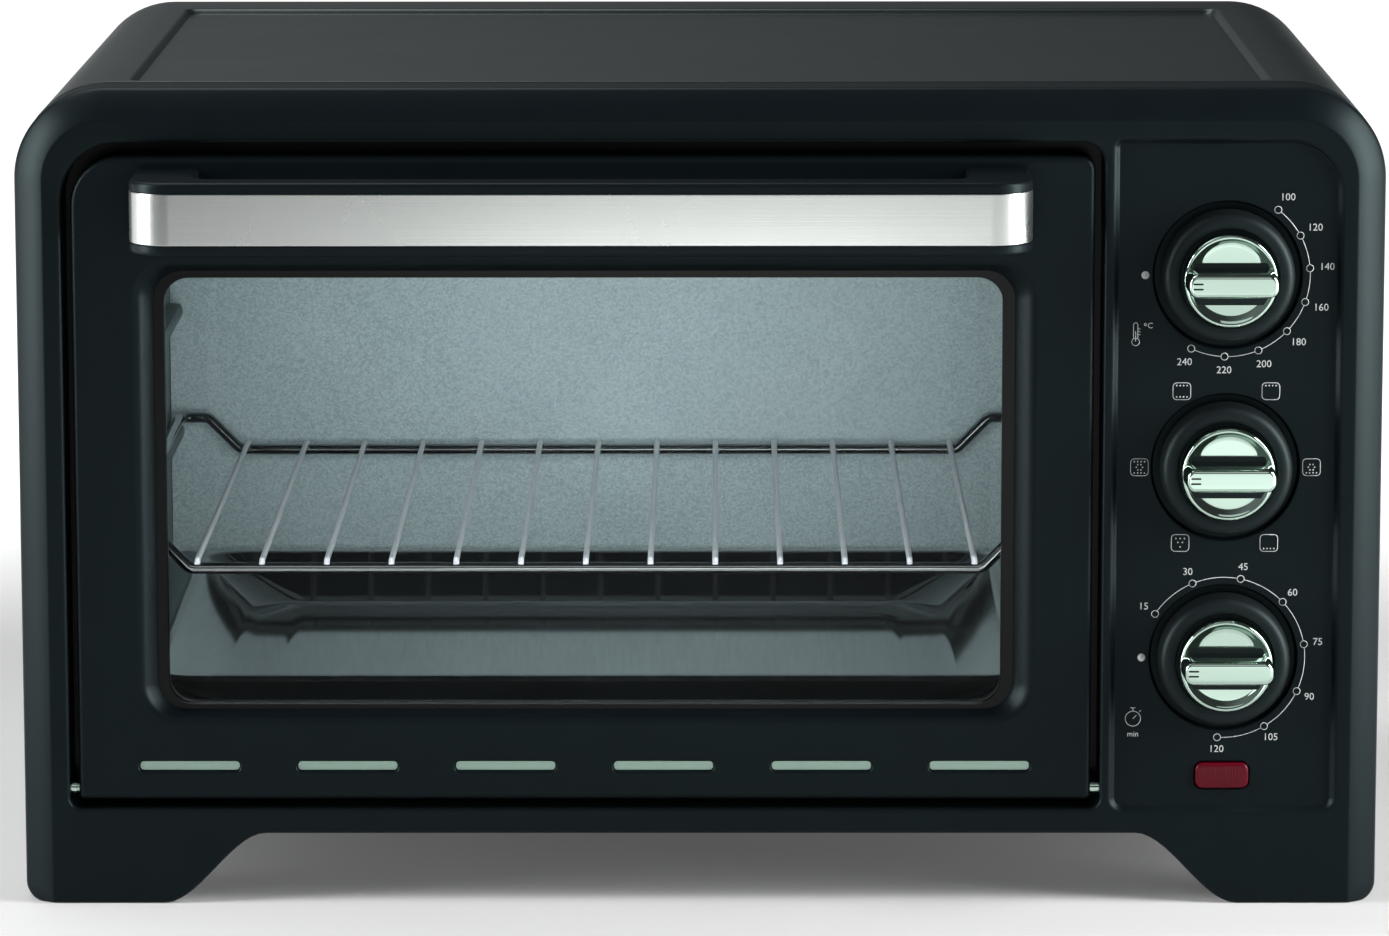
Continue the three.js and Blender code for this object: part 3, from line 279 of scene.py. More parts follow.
def paper_glow(board):
    """How strongly the paper glows at each spot, for the kind of ray that looks at it."""
    where = board.add("ShaderNodeTexCoord").outputs["Object"]
    rays = board.add("ShaderNodeLightPath").outputs
    away = board.add("ShaderNodeVectorMath", {0: where}, operation="LENGTH").outputs["Value"]
    glow = board.ramp(away, GLOW_START, GLOW_END, GLOW_LEAST, 1.0, interpolation_type="SMOOTHSTEP")
    shown = board.math("MULTIPLY", glow, board.math("SUBTRACT", 1.0, rays["Is Diffuse Ray"]))
    spot = board.add("ShaderNodeSeparateXYZ", {0: where}).outputs
    rightward = board.ramp(spot["X"], LEFT_START, LEFT_STOP, LEFT_LEAST, 1.0)
    behind = board.ramp(spot["Y"], BEHIND_START, BEHIND_STOP, 0.0, 1.0)
    share = board.math("MAXIMUM", board.math("MAXIMUM", rightward, behind), rays["Is Camera Ray"])
    return board.math("MULTIPLY", share, shown)


def paper_floor():
    bm = bmesh.new()
    bmesh.ops.create_grid(bm, x_segments=1, y_segments=1, size=FLOOR_HALF)
    mesh = mesh_of(bm, "studio_floor")
    paper = bpy.data.materials.new("studio_paper")
    paper.use_nodes = True
    shader = paper.node_tree.nodes["Principled BSDF"]
    for socket, value in (("Base Color", (PAPER, PAPER, PAPER, 1)), ("Roughness", 0.9),
                          ("Specular IOR Level", 0.1), ("Emission Color", (1, 1, 1, 1))):
        shader.inputs[socket].default_value = value
    board = Board(paper.node_tree)
    board.feed(shader.inputs["Emission Strength"], paper_glow(board))
    mesh.materials.append(paper)
    floor = bpy.data.objects.new("studio_floor", mesh)
    scene.collection.objects.link(floor)


paper_floor()

# %% [markdown]
# ## Shared effects
# *Surface grain* is the fine pebble of a spark-eroded mould, the orange peel of paint and, stretched
# along one axis, the lines of brushed steel. *Handling* is the slow change in gloss that cloths and
# fingers leave. *Speckle* is the pattern of small flakes in a coated steel sheet.

# %% Effect groups
CLOUD_SCALE = 0.03
FLAKE_SHARE = 0.7


def surface_grain():
    tree, board, start, end = node_tree(
        "surface grain", "ShaderNodeTree",
        [("Scale", "NodeSocketFloat", 1000.0), ("Stretch", "NodeSocketVector", (1, 1, 1)),
         ("Detail", "NodeSocketFloat", 2.0)],
        [("Height", "NodeSocketFloat"), ("Cloud", "NodeSocketFloat")],
    )
    where = board.add("ShaderNodeTexCoord").outputs["Object"]
    laid = board.add("ShaderNodeMapping", {"Vector": where, "Scale": start["Stretch"]}).outputs[0]
    wide = board.math("MULTIPLY", start["Scale"], CLOUD_SCALE)
    board.feed(end["Height"], board.noise(laid, start["Scale"], start["Detail"]))
    board.feed(end["Cloud"], board.noise(laid, wide, 4.0))
    return tree


def handling():
    tree, board, start, end = node_tree(
        "handling", "ShaderNodeTree",
        [("Roughness", "NodeSocketFloat", 0.4), ("Spread", "NodeSocketFloat", 0.1),
         ("Scale", "NodeSocketFloat", 18.0)],
        [("Roughness", "NodeSocketFloat")],
    )
    where = board.add("ShaderNodeTexCoord").outputs["Object"]
    marks = board.noise(where, start["Scale"], 6.0, 0.62)
    swing = board.math("MULTIPLY", board.math("SUBTRACT", marks, 0.5), start["Spread"])
    board.feed(end["Roughness"], board.math("ADD", start["Roughness"], swing))
    return tree


def speckle():
    tree, board, start, end = node_tree(
        "speckle", "ShaderNodeTree",
        [("Scale", "NodeSocketFloat", 900.0), ("Contrast", "NodeSocketFloat", 1.0)],
        [("Flakes", "NodeSocketFloat"), ("Height", "NodeSocketFloat")],
    )
    where = board.add("ShaderNodeTexCoord").outputs["Object"]
    cells = board.add("ShaderNodeTexVoronoi", {"Vector": where, "Scale": start["Scale"]})
    shade = board.add("ShaderNodeSeparateColor", {"Color": cells.outputs["Color"]}).outputs[0]
    uneven = board.math("MULTIPLY", board.noise(where, 26.0, 5.0), 1 - FLAKE_SHARE)
    mixed = board.math("ADD", board.math("MULTIPLY", shade, FLAKE_SHARE), uneven)
    centred = board.math("MULTIPLY", board.math("SUBTRACT", mixed, 0.5), start["Contrast"])
    board.feed(end["Flakes"], board.math("ADD", centred, 0.5))
    board.feed(end["Height"], shade)
    return tree


GRAIN, HANDLING, SPECKLE = surface_grain(), handling(), speckle()
print("effects", GRAIN.name, HANDLING.name, SPECKLE.name)

# %% [markdown]
# ## Finishes
# `finish` makes one material: two close shades clouded into each other, a gloss that handling
# varies, and a bump from the surface grain. Constant values go straight on the shader's own sockets,
# and the rare ones come in `others`. Each real finish then only says its own numbers.

# %% Finish
def finish(name, shades, roughness, spread=0.08, grain=1200.0, stretch=(1, 1, 1), bump=0.02,
           metallic=0.0, specular=0.5, speckles=None, coat=0.0, transmission=0.0, others=()):
    look = bpy.data.materials.new(name)
    look.use_nodes = True
    board = Board(look.node_tree)
    shader = look.node_tree.nodes["Principled BSDF"]
    texture = board.add("ShaderNodeGroup", node_tree=GRAIN)
    board.feed(texture.inputs["Scale"], grain)
    board.feed(texture.inputs["Stretch"], stretch)
    mask, height = texture.outputs["Cloud"], texture.outputs["Height"]
    if speckles:
        flakes = board.add("ShaderNodeGroup", node_tree=SPECKLE)
        board.feed(flakes.inputs["Scale"], speckles)
        board.feed(flakes.inputs["Contrast"], 1.2)
        mask, height = flakes.outputs["Flakes"], flakes.outputs["Height"]
    dark, light = [(*shade, 1) for shade in shades]
    board.feed(shader.inputs["Base Color"], board.mix(mask, dark, light))
    gloss = board.add("ShaderNodeGroup", node_tree=HANDLING)
    board.feed(gloss.inputs["Roughness"], roughness)
    board.feed(gloss.inputs["Spread"], spread)
    board.feed(shader.inputs["Roughness"], gloss.outputs[0])
    relief = board.add("ShaderNodeBump", {"Height": height, "Distance": bump * MM, "Strength": 1.0})
    board.feed(shader.inputs["Normal"], relief.outputs[0])
    for socket, value in (("Metallic", metallic), ("Specular IOR Level", specular),
                          ("Coat Weight", coat), ("Transmission Weight", transmission), *others):
        shader.inputs[socket].default_value = value
    return look


# %% [markdown]
# The casing finishes: the bezel, door and handle are satin black polycarbonate with a fine moulded
# grain, the dial skirts are a coarser grain of the same resin, and the casing is steel with a
# half-gloss paint, whose peel is wider than the plastic's grain. All three throw back a light that is
# a little blue green.

# %% Casing finishes
TINT = [("Specular Tint", (0.72, 1.0, 1.0, 1))]
plastic = finish("satin_black_plastic", [(0.0026, 0.0044, 0.0056), (0.0036, 0.0059, 0.0073)], 0.38,
                 spread=0.06, grain=2400.0, bump=0.006, specular=0.1, others=TINT)
dial_plastic = finish("dial_plastic", [(0.003, 0.0040, 0.0048), (0.0045, 0.0058, 0.0066)], 0.5,
                      spread=0.05, grain=1900.0, bump=0.02, specular=0.2, others=TINT)
paint = finish("casing_paint", [(0.005, 0.0066, 0.0072), (0.0075, 0.0095, 0.0100)], 0.3,
               spread=0.08, grain=420.0, bump=0.012, specular=0.4, others=TINT)
rubber = finish("foot_rubber", [(0.008, 0.008, 0.008), (0.015, 0.015, 0.015)], 0.8,
                grain=900.0, bump=0.04, specular=0.3)
inner_plastic = finish("switch_resin", [(0.02, 0.021, 0.022), (0.03, 0.031, 0.032)], 0.5,
                       grain=1500.0, bump=0.02)

# %% [markdown]
# The metals: the liner is steel with a baked aluminium coating, dull blue grey and full of flakes.
# Its folded walls get a darker copy of that steel than its back: painted shade. The handle strip and
# the vent plates are brushed along their length, so their grain is short across the brush lines and
# very long beside them.
# Chrome is nearly smooth, and its bump is only a trace. The rack's thin wires are plated dull.

# %% Metal finishes
liner_steel = finish("aluminised_steel", [(0.24, 0.325, 0.345), (0.40, 0.50, 0.525)], 0.45,
                     spread=0.12, speckles=1500.0, bump=0.02, metallic=0.3)
# The side walls' steel is a darker copy of the liner steel: painted shade.
shade_painted_walls = finish("shade_painted_walls", [(0.085, 0.125, 0.135), (0.15, 0.20, 0.212)], 0.42,
                    spread=0.12, speckles=1500.0, bump=0.02, metallic=0.3)
brushed = finish("brushed_strip", [(0.43, 0.45, 0.435), (0.56, 0.58, 0.565)], 0.27, spread=0.08,
                 grain=500.0, stretch=(0.012, 0.012, 6.0), bump=0.01, metallic=1.0)
sheet_steel = finish("zinc_sheet", [(0.42, 0.43, 0.43), (0.60, 0.61, 0.61)], 0.34, spread=0.16,
                     speckles=260.0, bump=0.01, metallic=1.0)
chrome = finish("bright_chrome", [(0.42, 0.55, 0.475), (0.50, 0.65, 0.565)], 0.06, spread=0.04,
                grain=300.0, bump=0.0015, metallic=1.0)
rack_chrome = finish("rack_plating", [(0.30, 0.31, 0.32), (0.42, 0.43, 0.44)], 0.09, spread=0.04,
                     grain=500.0, bump=0.006, metallic=1.0)
vent_plate = finish("vent_plate", [(0.26, 0.37, 0.31), (0.34, 0.47, 0.40)], 0.36, spread=0.08,
                    grain=500.0, stretch=(0.012, 0.012, 6.0), bump=0.01, metallic=1.0)
wire_plating = finish("wire_plating", [(0.72, 0.75, 0.82), (0.86, 0.89, 0.95)], 0.30, spread=0.08,
                      grain=500.0, bump=0.006, metallic=0.15)
sheath = finish("element_sheath", [(0.045, 0.042, 0.038), (0.11, 0.10, 0.09)], 0.42, spread=0.2,
                grain=700.0, bump=0.02, metallic=0.8)
brass = finish("bell_brass", [(0.45, 0.30, 0.10), (0.62, 0.44, 0.17)], 0.32, spread=0.14,
               grain=600.0, bump=0.01, metallic=1.0)

# %% [markdown]
# Glass, enamel, ceramic and the lamp. The tray's enamel is a black glaze with small waves, and a
# clear coat gives it its second, sharper gloss. Door glass keeps plain metallic and transmission
# values, and only its roughness carries the faint marks of wiping. A low IOR stands for its
# coating, which keeps the room from showing in it.

# %% Glass, enamel and ceramic
enamel = finish("black_enamel", [(0.002, 0.002, 0.0025), (0.004, 0.004, 0.0045)], 0.10, spread=0.05,
                grain=90.0, bump=0.008, coat=1.0,
                others=[("Coat Roughness", 0.06), ("Coat IOR", 1.75)])
# Black lining for the door; on the liner's front frame the same black is painted shade in the gap round the
# door.
black_lining_and_gap_shade = finish("door_black_and_gap_shade", [(0.0015, 0.0016, 0.0018), (0.0025, 0.0027, 0.003)], 0.3,
                      grain=700.0, bump=0.02, specular=0.15)
ceramic = finish("steatite", [(0.66, 0.62, 0.54), (0.78, 0.75, 0.68)], 0.6, grain=800.0, bump=0.05)
ink = finish("panel_ink", [(0.46, 0.47, 0.47), (0.56, 0.57, 0.57)], 0.5, grain=2500.0, bump=0.004)
lens_red = finish("lamp_red", [(0.05, 0.0008, 0.004), (0.10, 0.0015, 0.010)], 0.22, spread=0.05,
                  grain=700.0, bump=0.01, specular=0.16)
glass = finish("door_glass", [(0.86, 0.90, 0.89), (0.90, 0.93, 0.92)], 0.015, spread=0.02,
               grain=60.0, bump=0.0004, transmission=1.0, others=[("IOR", 1.09)])
print("materials", len(bpy.data.materials))

# %% [markdown]
# ## Rings, skins and lids
# Most of the mouldings are a closed outline that changes as it goes back: an edge that rolls over, a
# step, a slope. `Shell` puts down such rings of points, skins one ring to the next, and closes flat
# faces between rings with a lid. That gives clean strips of faces where an edge is round, which
# boolean cuts wouldn't.

# %% Shell
class Shell:
    def __init__(self):
        self.bm = bmesh.new()

    def ring(self, points):
        return [self.bm.verts.new(point(*p)) for p in points]

    def skin(self, first, second, closed=True):
        count = len(first)
        for i in range(count if closed else count - 1):
            j = (i + 1) % count
            self.bm.faces.new((first[i], first[j], second[j], second[i]))

    def loft(self, rings, closed=True):
        made = [self.ring(points) for points in rings]
        for first, second in zip(made, made[1:]):
            self.skin(first, second, closed)
        return made

    def block(self, rings):
        """A loft with both ends closed."""
        made = self.loft(rings)
        self.lid(made[0])
        self.lid(made[-1])

    def lid(self, outer, *holes):
        """Fills the flat space between the outer ring and the holes."""
        loops = [outer, *holes]
        verts = [v for loop in loops for v in loop]
        for corners in tessellate_polygon([[v.co for v in loop] for loop in loops]):
            trio = [verts[i] for i in corners]
            if len(set(trio)) == 3 and not self.bm.faces.get(trio):
                self.bm.faces.new(trio)


def flat(outline, depth):
    return [(x, depth, z) for x, z in outline]


def rounded(area, corners, steps=8):
    """A rectangle with round corners: lower left, lower right, upper right, upper left."""
    spots = ((area.x0, area.z0, 1, 1, 180), (area.x1, area.z0, -1, 1, 270),
             (area.x1, area.z1, -1, -1, 0), (area.x0, area.z1, 1, -1, 90))
    points = []
    for (x, z, right, up, start), radius in zip(spots, corners):
        for i in range(steps + 1):
            angle = math.radians(start + 90 * i / steps)
            points.append((x + radius * (right + math.cos(angle)), z + radius * (up + math.sin(angle))))
    return points


def rounded_by(area, corners, by, steps=8):
    return rounded(grown(area, by), [max(0.3, corner + by) for corner in corners], steps)


def stack(area, corners, steps, fine=8):
    """Rings for a loft: the rounded outline grown by each step's first number, at its second."""
    return [flat(rounded_by(area, corners, by, fine), depth) for by, depth in steps]


def circle(x, z, radius, sides=48):
    turn = 2 * math.pi / sides
    return [(x + radius * math.cos(i * turn), z + radius * math.sin(i * turn)) for i in range(sides)]


def edge_roll(radius, steps=4):
    """(inset, drop) pairs of a quarter round, from the front face over to the side."""
    turns = [math.radians(90 * i / steps) for i in range(steps + 1)]
    return [(radius * (1 - math.sin(turn)), radius * (1 - math.cos(turn))) for turn in turns]


def linked(name, mesh):
    made = bpy.data.objects.new(name, mesh)
    scene.collection.objects.link(made)
    return made


def finished(made, body, stands_for=()):
    """Rides on its body and stands for its CAD nodes, which it hides."""
    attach(made, body)
    if stands_for:
        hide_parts(*stands_for)
    print(made.name, len(made.data.polygons), "faces on", body)
    return made


MERGE = 0.004 * MM
DEGENERATE = 0.002 * MM


def smoothed(bm, name, crease):
    """A mesh with smooth shading; crease is the angle from which an edge stays sharp."""
    mesh = mesh_of(bm, name)
    mesh.shade_smooth()
    mesh.set_sharp_from_angle(angle=math.radians(crease))
    return mesh


def piece(name, bm, look, body, stands_for=(), crease=38, recalc=True):
    """Makes the drawn faces one finished piece."""
    bmesh.ops.remove_doubles(bm, verts=bm.verts, dist=MERGE)
    bmesh.ops.dissolve_degenerate(bm, edges=bm.edges, dist=DEGENERATE)
    if recalc:
        bmesh.ops.recalc_face_normals(bm, faces=bm.faces)
    mesh = smoothed(bm, name, crease)
    mesh.materials.append(look)
    made = linked(name, mesh)
    even = made.modifiers.new("even shading", "WEIGHTED_NORMAL")
    even.keep_sharp = True
    return finished(made, body, stands_for)


def lathe(bm, profile, centre, axis="Y", sides=64):
    """Turns (radius, height) points about an axis through centre; a point at radius 0 is a pole."""
    origin = Vector(centre)
    rings = []
    for radius, height in profile:
        ring = []
        for i in range(sides if radius > 0 else 1):
            turn = 2 * math.pi * i / sides
            across, up = radius * math.cos(turn), radius * math.sin(turn)
            spot = {"X": (height, across, up), "Y": (across, height, up), "Z": (across, up, height)}[axis]
            ring.append(bm.verts.new(point(*(origin + Vector(spot)))))
        rings.append(ring)
    for first, second in zip(rings, rings[1:]):
        for i in range(sides):
            j = (i + 1) % sides
            near, far = len(first), len(second)
            corners = [first[i % near], first[j % near], second[j % far], second[i % far]]
            corners = list(dict.fromkeys(corners))
            if len(corners) > 2:
                bm.faces.new(corners)


def turned(name, profile, centre, axis, sides, look, body, node, crease=38):
    """A piece made on the lathe, in place of one CAD node."""
    bm = bmesh.new()
    lathe(bm, profile, centre, axis, sides)
    return piece(name, bm, look, body, [node], crease)


# %% [markdown]
# ## Trees for what repeats
# Rods, screws, slots and scale marks repeat or follow a line, so Geometry Nodes make them.
# `run_tree` puts a tree on a host mesh, sets the named inputs by their identifiers, and keeps the
# evaluated result as a plain mesh. Two trees do most of it: *bent rod* sweeps a round bar along
# edges with its corners rounded off, and *rows of copies* repeats an object on a grid.

# %% Running a tree
def plain_mesh(source):
    """The mesh of an object as its modifiers leave it."""
    return bpy.data.meshes.new_from_object(source.evaluated_get(bpy.context.evaluated_depsgraph_get()))


def run_tree(tree, inputs, mesh=None):
    host = linked("host", mesh or bpy.data.meshes.new("host"))
    modifier = host.modifiers.new("steps", "NODES")
    modifier.node_group = tree
    sockets = {item.name: item.identifier for item in tree.interface.items_tree
               if item.item_type == "SOCKET" and item.in_out == "INPUT"}
    for label, value in inputs.items():
        modifier[sockets[label]] = value
    made = plain_mesh(host)
    host.modifiers.remove(modifier)
    bpy.data.objects.remove(host)
    return made


def lines_mesh(chains):
    """Chains of (x, depth, z) points as loose edges; a chain that ends at its start is a loop."""
    bm = bmesh.new()
    for chain in chains:
        closed = chain[0] == chain[-1]
        spots = [bm.verts.new(point(*p)) for p in (chain[:-1] if closed else chain)]
        for first, second in zip(spots, spots[1:] + (spots[:1] if closed else [])):
            bm.edges.new((first, second))
    return mesh_of(bm, "lines")


# %% Bent rod tree
def bent_rod_tree():
    tree, board, start, end = node_tree(
        "bent rod", "GeometryNodeTree",
        [("Line", "NodeSocketGeometry", None), ("Radius", "NodeSocketFloat", 0.002),
         ("Bend radius", "NodeSocketFloat", 0.004), ("Sides", "NodeSocketInt", 12),
         ("Bend steps", "NodeSocketInt", 6), ("Finish", "NodeSocketMaterial", None)],
        [("Rod", "NodeSocketGeometry")],
    )
    path = board.add("GeometryNodeMeshToCurve", {"Mesh": start["Line"]}).outputs[0]
    bends = board.add("GeometryNodeFilletCurve", mode="POLY")
    for label, value in (("Curve", path), ("Radius", start["Bend radius"]), ("Count", start["Bend steps"])):
        board.feed(bends.inputs[label], value)
    if "Limit Radius" in bends.inputs:
        bends.inputs["Limit Radius"].default_value = True
    section = board.add(
        "GeometryNodeCurvePrimitiveCircle", {"Resolution": start["Sides"], "Radius": start["Radius"]},
    ).outputs[0]
    bar = board.add("GeometryNodeCurveToMesh", {"Curve": bends.outputs[0], "Profile Curve": section})
    bar.inputs["Fill Caps"].default_value = True
    real = board.add("GeometryNodeRealizeInstances", {"Geometry": bar.outputs[0]}).outputs[0]
    smooth = board.add("GeometryNodeSetShadeSmooth", {"Geometry": real}).outputs[0]
    board.feed(end["Rod"], board.add(
        "GeometryNodeSetMaterial", {"Geometry": smooth, "Material": start["Finish"]}).outputs[0])
    return tree


BENT_ROD = bent_rod_tree()


def bent_rod(chains, radius, look, bend=4.0, sides=12, steps=6):
    settings = {"Radius": radius * MM, "Bend radius": bend * MM, "Sides": sides, "Bend steps": steps,
                "Finish": look}
    return run_tree(BENT_ROD, settings, lines_mesh(chains))


# %% Rows of copies tree
def rows_tree():
    tree, board, start, end = node_tree(
        "rows of copies", "GeometryNodeTree",
        [("Host", "NodeSocketGeometry", None), ("Item", "NodeSocketObject", None),
         ("Start", "NodeSocketVector", (0, 0, 0)), ("Step", "NodeSocketVector", (0.01, 0, 0)),
         ("Count", "NodeSocketInt", 6), ("Row step", "NodeSocketVector", (0, 0, 0.01)),
         ("Rows", "NodeSocketInt", 1), ("Turn", "NodeSocketVector", (0, 0, 0)),
         ("Seed", "NodeSocketInt", 1), ("Finish", "NodeSocketMaterial", None)],
        [("Copies", "NodeSocketGeometry")],
    )
    row = board.add("GeometryNodeMeshLine", {"Count": start["Count"], "Start Location": start["Start"],
                                             "Offset": start["Step"]}).outputs[0]
    column = board.add("GeometryNodeMeshLine",
                       {"Count": start["Rows"], "Offset": start["Row step"]}).outputs[0]
    grid = board.add("GeometryNodeInstanceOnPoints", {"Points": column, "Instance": row}).outputs[0]
    spots = board.add("GeometryNodeRealizeInstances", {"Geometry": grid}).outputs[0]
    item = board.add("GeometryNodeObjectInfo", {"Object": start["Item"]}).outputs["Geometry"]
    lowest = board.add("ShaderNodeVectorMath", {0: start["Turn"]}, operation="SCALE")
    lowest.inputs["Scale"].default_value = -1.0
    turn = board.add("FunctionNodeRandomValue", {0: lowest.outputs[0], 1: start["Turn"],
                                                 "Seed": start["Seed"]}, data_type="FLOAT_VECTOR")
    copies = board.add("GeometryNodeInstanceOnPoints", {"Points": spots, "Instance": item,
                                                        "Rotation": turn.outputs[0]}).outputs[0]
    real = board.add("GeometryNodeRealizeInstances", {"Geometry": copies}).outputs[0]
    board.feed(end["Copies"], board.add(
        "GeometryNodeSetMaterial", {"Geometry": real, "Material": start["Finish"]}).outputs[0])
    return tree


ROWS = rows_tree()


def rows(item_bm, look, first, step, count, row_step=(0, 0, 1), row_count=1, turn=(0, 0, 0), seed=1,
         crease=40):
    """Copies of a small mesh drawn about the origin; first, step and row_step are in millimetres."""
    item_bm.transform(Matrix.Translation((0, -FRONT, 0)))
    bmesh.ops.remove_doubles(item_bm, verts=item_bm.verts, dist=MERGE)
    bmesh.ops.recalc_face_normals(item_bm, faces=item_bm.faces)
    item = linked("item", smoothed(item_bm, "item", crease))
    made = run_tree(ROWS, {
        "Item": item, "Start": tuple(point(*first)), "Step": tuple(Vector(step) * MM), "Count": count,
        "Row step": tuple(Vector(row_step) * MM), "Rows": row_count, "Turn": turn, "Seed": seed,
        "Finish": look,
    })
    bpy.data.objects.remove(item)
    return made


def joined_mesh(name, meshes):
    """Several plain meshes as one, keeping each one's materials."""
    whole = bmesh.new()
    looks = []
    for mesh in meshes:
        for look in mesh.materials:
            if look not in looks:
                looks.append(look)
        before = len(whole.faces)
        whole.from_mesh(mesh)
        whole.faces.ensure_lookup_table()
        for face in whole.faces[before:]:
            face.material_index = looks.index(mesh.materials[face.material_index])
    made = mesh_of(whole, name)
    for look in looks:
        made.materials.append(look)
    return made


print("trees", BENT_ROD.name, ROWS.name)

# %% [markdown]
# ## The bezel
# One moulding frames the whole front and reaches down to the table as two feet. Its flat face turns
# back in a wide sloping band along the sides and the top, and that band is what catches the light.
# The outline is made twice: `outer` is the edge, and `inner` is the crease where the slope meets the
# flat face. Every ring in between is a blend of the two, so the band keeps its width round the
# corners and runs straight down to the bottom of the feet.

# %% Bezel outline
BAND = 10.5
BAND_SETBACK = 8.0
LOW_EDGE = 1.2
CORNER = 32.0
FOOT_CORNER = 6.0
FOOT_INNER = BEZEL.x1 - 50
ARCH_INNER = FOOT_INNER - 36
ARCH_TOP = 25.3
BEZEL_REAR = BEZEL.d1
Spot = namedtuple("Spot", "outer inner low")


def bezel_side():
    """Right half of the outline: foot slope, foot, side and upper corner."""
    spots = []
    steps = 14
    for i in range(steps + 1):
        t = i / steps
        ease = 3 * t * t - 2 * t ** 3
        x = ARCH_INNER + (FOOT_INNER - ARCH_INNER) * t
        z = ARCH_TOP * (1 - ease)
        lean = ARCH_TOP * 6 * t * (1 - t) / (FOOT_INNER - ARCH_INNER)
        size = math.hypot(lean, 1)
        spots.append(Spot((x, z), (x + LOW_EDGE * lean / size, z + LOW_EDGE / size), 1.0))
    crease = BEZEL.x1 - BAND
    spots.append(Spot((crease, 0), (crease - 0.6, LOW_EDGE), 1.0))
    for i in range(7):
        turn = math.radians(15 * i)
        x = BEZEL.x1 - FOOT_CORNER * (1 - math.sin(turn))
        z = FOOT_CORNER * (1 - math.cos(turn))
        spots.append(Spot((x, z), (crease, max(LOW_EDGE + 0.05 * i, z)), 1 - z / FOOT_CORNER))
    middle = (BEZEL.x1 - CORNER, BEZEL.z1 - CORNER)
    for i in range(25):
        turn = math.radians(90 * i / 24)
        cos, sin = math.cos(turn), math.sin(turn)
        outer = (middle[0] + CORNER * cos, middle[1] + CORNER * sin)
        inner = (middle[0] + (CORNER - BAND) * cos, middle[1] + (CORNER - BAND) * sin)
        spots.append(Spot(outer, inner, 0.0))
    return spots


def bezel_outline():
    right = bezel_side()
    left = [Spot((-s.outer[0], s.outer[1]), (-s.inner[0], s.inner[1]), s.low) for s in reversed(right)]
    return right + left


def band_depth(share):
    """Depth of the sloping band: 0 at the outer edge, 1 at the crease."""
    left = max(0.0, 1 - share)
    return BAND_SETBACK * left * (1 + 0.63 * left) / 1.63


def bezel_ring(spots, share, extra):
    points = []
    for (x0, z0), (x1, z1), low in spots:
        x, z = x0 + (x1 - x0) * share, z0 + (z1 - z0) * share
        across = share if low == 0.0 or abs(x0) < BEZEL.x1 - BAND else (BEZEL.x1 - abs(x)) / BAND
        band = 0.0 if low == 1.0 and abs(x0) <= BEZEL.x1 - BAND else band_depth(across)
        roll = LOW_EDGE * max(0.0, 1 - share) ** 2 * low
        points.append((x, max(0.0, band + roll) + extra, z))
    return points


# %% [markdown]
# The bezel's hollow side isn't seen, but it is a real shell: the control recess has three wells for
# the dials and a slot for the lamp, and a pocket behind it holds the switches. Each hole's rim rolls
# over with its own small radius, because a moulded edge is never sharp.

# %% Bezel
OPENING_CORNERS = (4, 4, 8, 20)
PANEL_CORNERS = (4, 4, 17, 2)
JAMB_ROLL = 1.5
WELL = 25.9
WELL_DEPTH = 5.0
SHAFT_HOLE = 5.0
POCKET_DEPTH = 8.0
POCKET_WALL = 4.0
LENS_HALF = 9.8
LENS_RIM = 1.2
LENS = Area(PANEL_X - LENS_HALF, PANEL_X + LENS_HALF,
            place("lamp_lens").z0 + LENS_RIM, place("lamp_lens").z1 - LENS_RIM)


def bezel_moulding():
    shell = Shell()
    spots = bezel_outline()
    bands = [(0, 1.1), (0.03, 0.15), (0.09, 0), (0.2, 0), (0.34, 0), (0.5, 0), (0.66, 0), (0.8, 0),
             (0.91, 0), (0.96, 0), (1.0, 0), (1.06, 0)]
    rear = [(x, BEZEL_REAR, z) for x, _, z in bezel_ring(spots, 0, 0)]
    rings = shell.loft([rear] + [bezel_ring(spots, share, extra) for share, extra in bands])
    door_hole = shell.loft(stack(OPENING, OPENING_CORNERS, edge_roll(JAMB_ROLL) + [(0, BEZEL_REAR)]))
    step = ((2.2, 0), (1.6, 0.1), (1.0, 0.42), (0.45, 0.95), (-0.05, 1.5), (-0.5, 1.86),
            (-0.9, PANEL_DEPTH))
    recess = shell.loft(stack(PANEL, PANEL_CORNERS, step))
    shell.lid(rings[-1], door_hole[0], recess[0])
    wells, shaft_holes = [], []
    for z in DIALS.values():
        rim = ((0.9, PANEL_DEPTH), (0.4, PANEL_DEPTH + 0.12), (0.05, PANEL_DEPTH + 0.6),
               (0, WELL_DEPTH - 0.5), (-0.5, WELL_DEPTH), (SHAFT_HOLE - WELL, WELL_DEPTH),
               (SHAFT_HOLE - WELL, POCKET_DEPTH))
        well = shell.loft([flat(circle(PANEL_X, z, WELL + inset, 64), drop) for inset, drop in rim])
        wells.append(well[0])
        shaft_holes.append(well[-1])
    slot = ((0.5, PANEL_DEPTH), (0.12, PANEL_DEPTH + 0.15), (0, PANEL_DEPTH + 0.5), (0, POCKET_DEPTH))
    lens_hole = shell.loft(stack(LENS, (3,) * 4, slot))
    shell.lid(recess[-1], *wells, lens_hole[0])
    pocket = Area(PANEL.x0, BEZEL.x1 - POCKET_WALL, PANEL.z0 + 3, BEZEL.z1 - POCKET_WALL)
    pocket_rings = shell.loft([flat(rounded(pocket, (2, 2, CORNER - POCKET_WALL, 2)), depth)
                               for depth in (POCKET_DEPTH, BEZEL_REAR)])
    shell.lid(pocket_rings[0], *shaft_holes, lens_hole[-1])
    shell.lid(rings[0], door_hole[-1], pocket_rings[-1])
    piece("bezel_moulding", shell.bm, plastic, "chassis", ["front_bezel"], crease=32)


bezel_moulding()

# %% [markdown]
# ## The casing cover
# One steel sheet is bent over the top and both sides, a millimetre inside the bezel. Its top is
# pressed down two millimetres in a wide panel with rounded corners. The sheet is a grid whose lines
# are close together only where it bends, and its thickness is added afterwards.

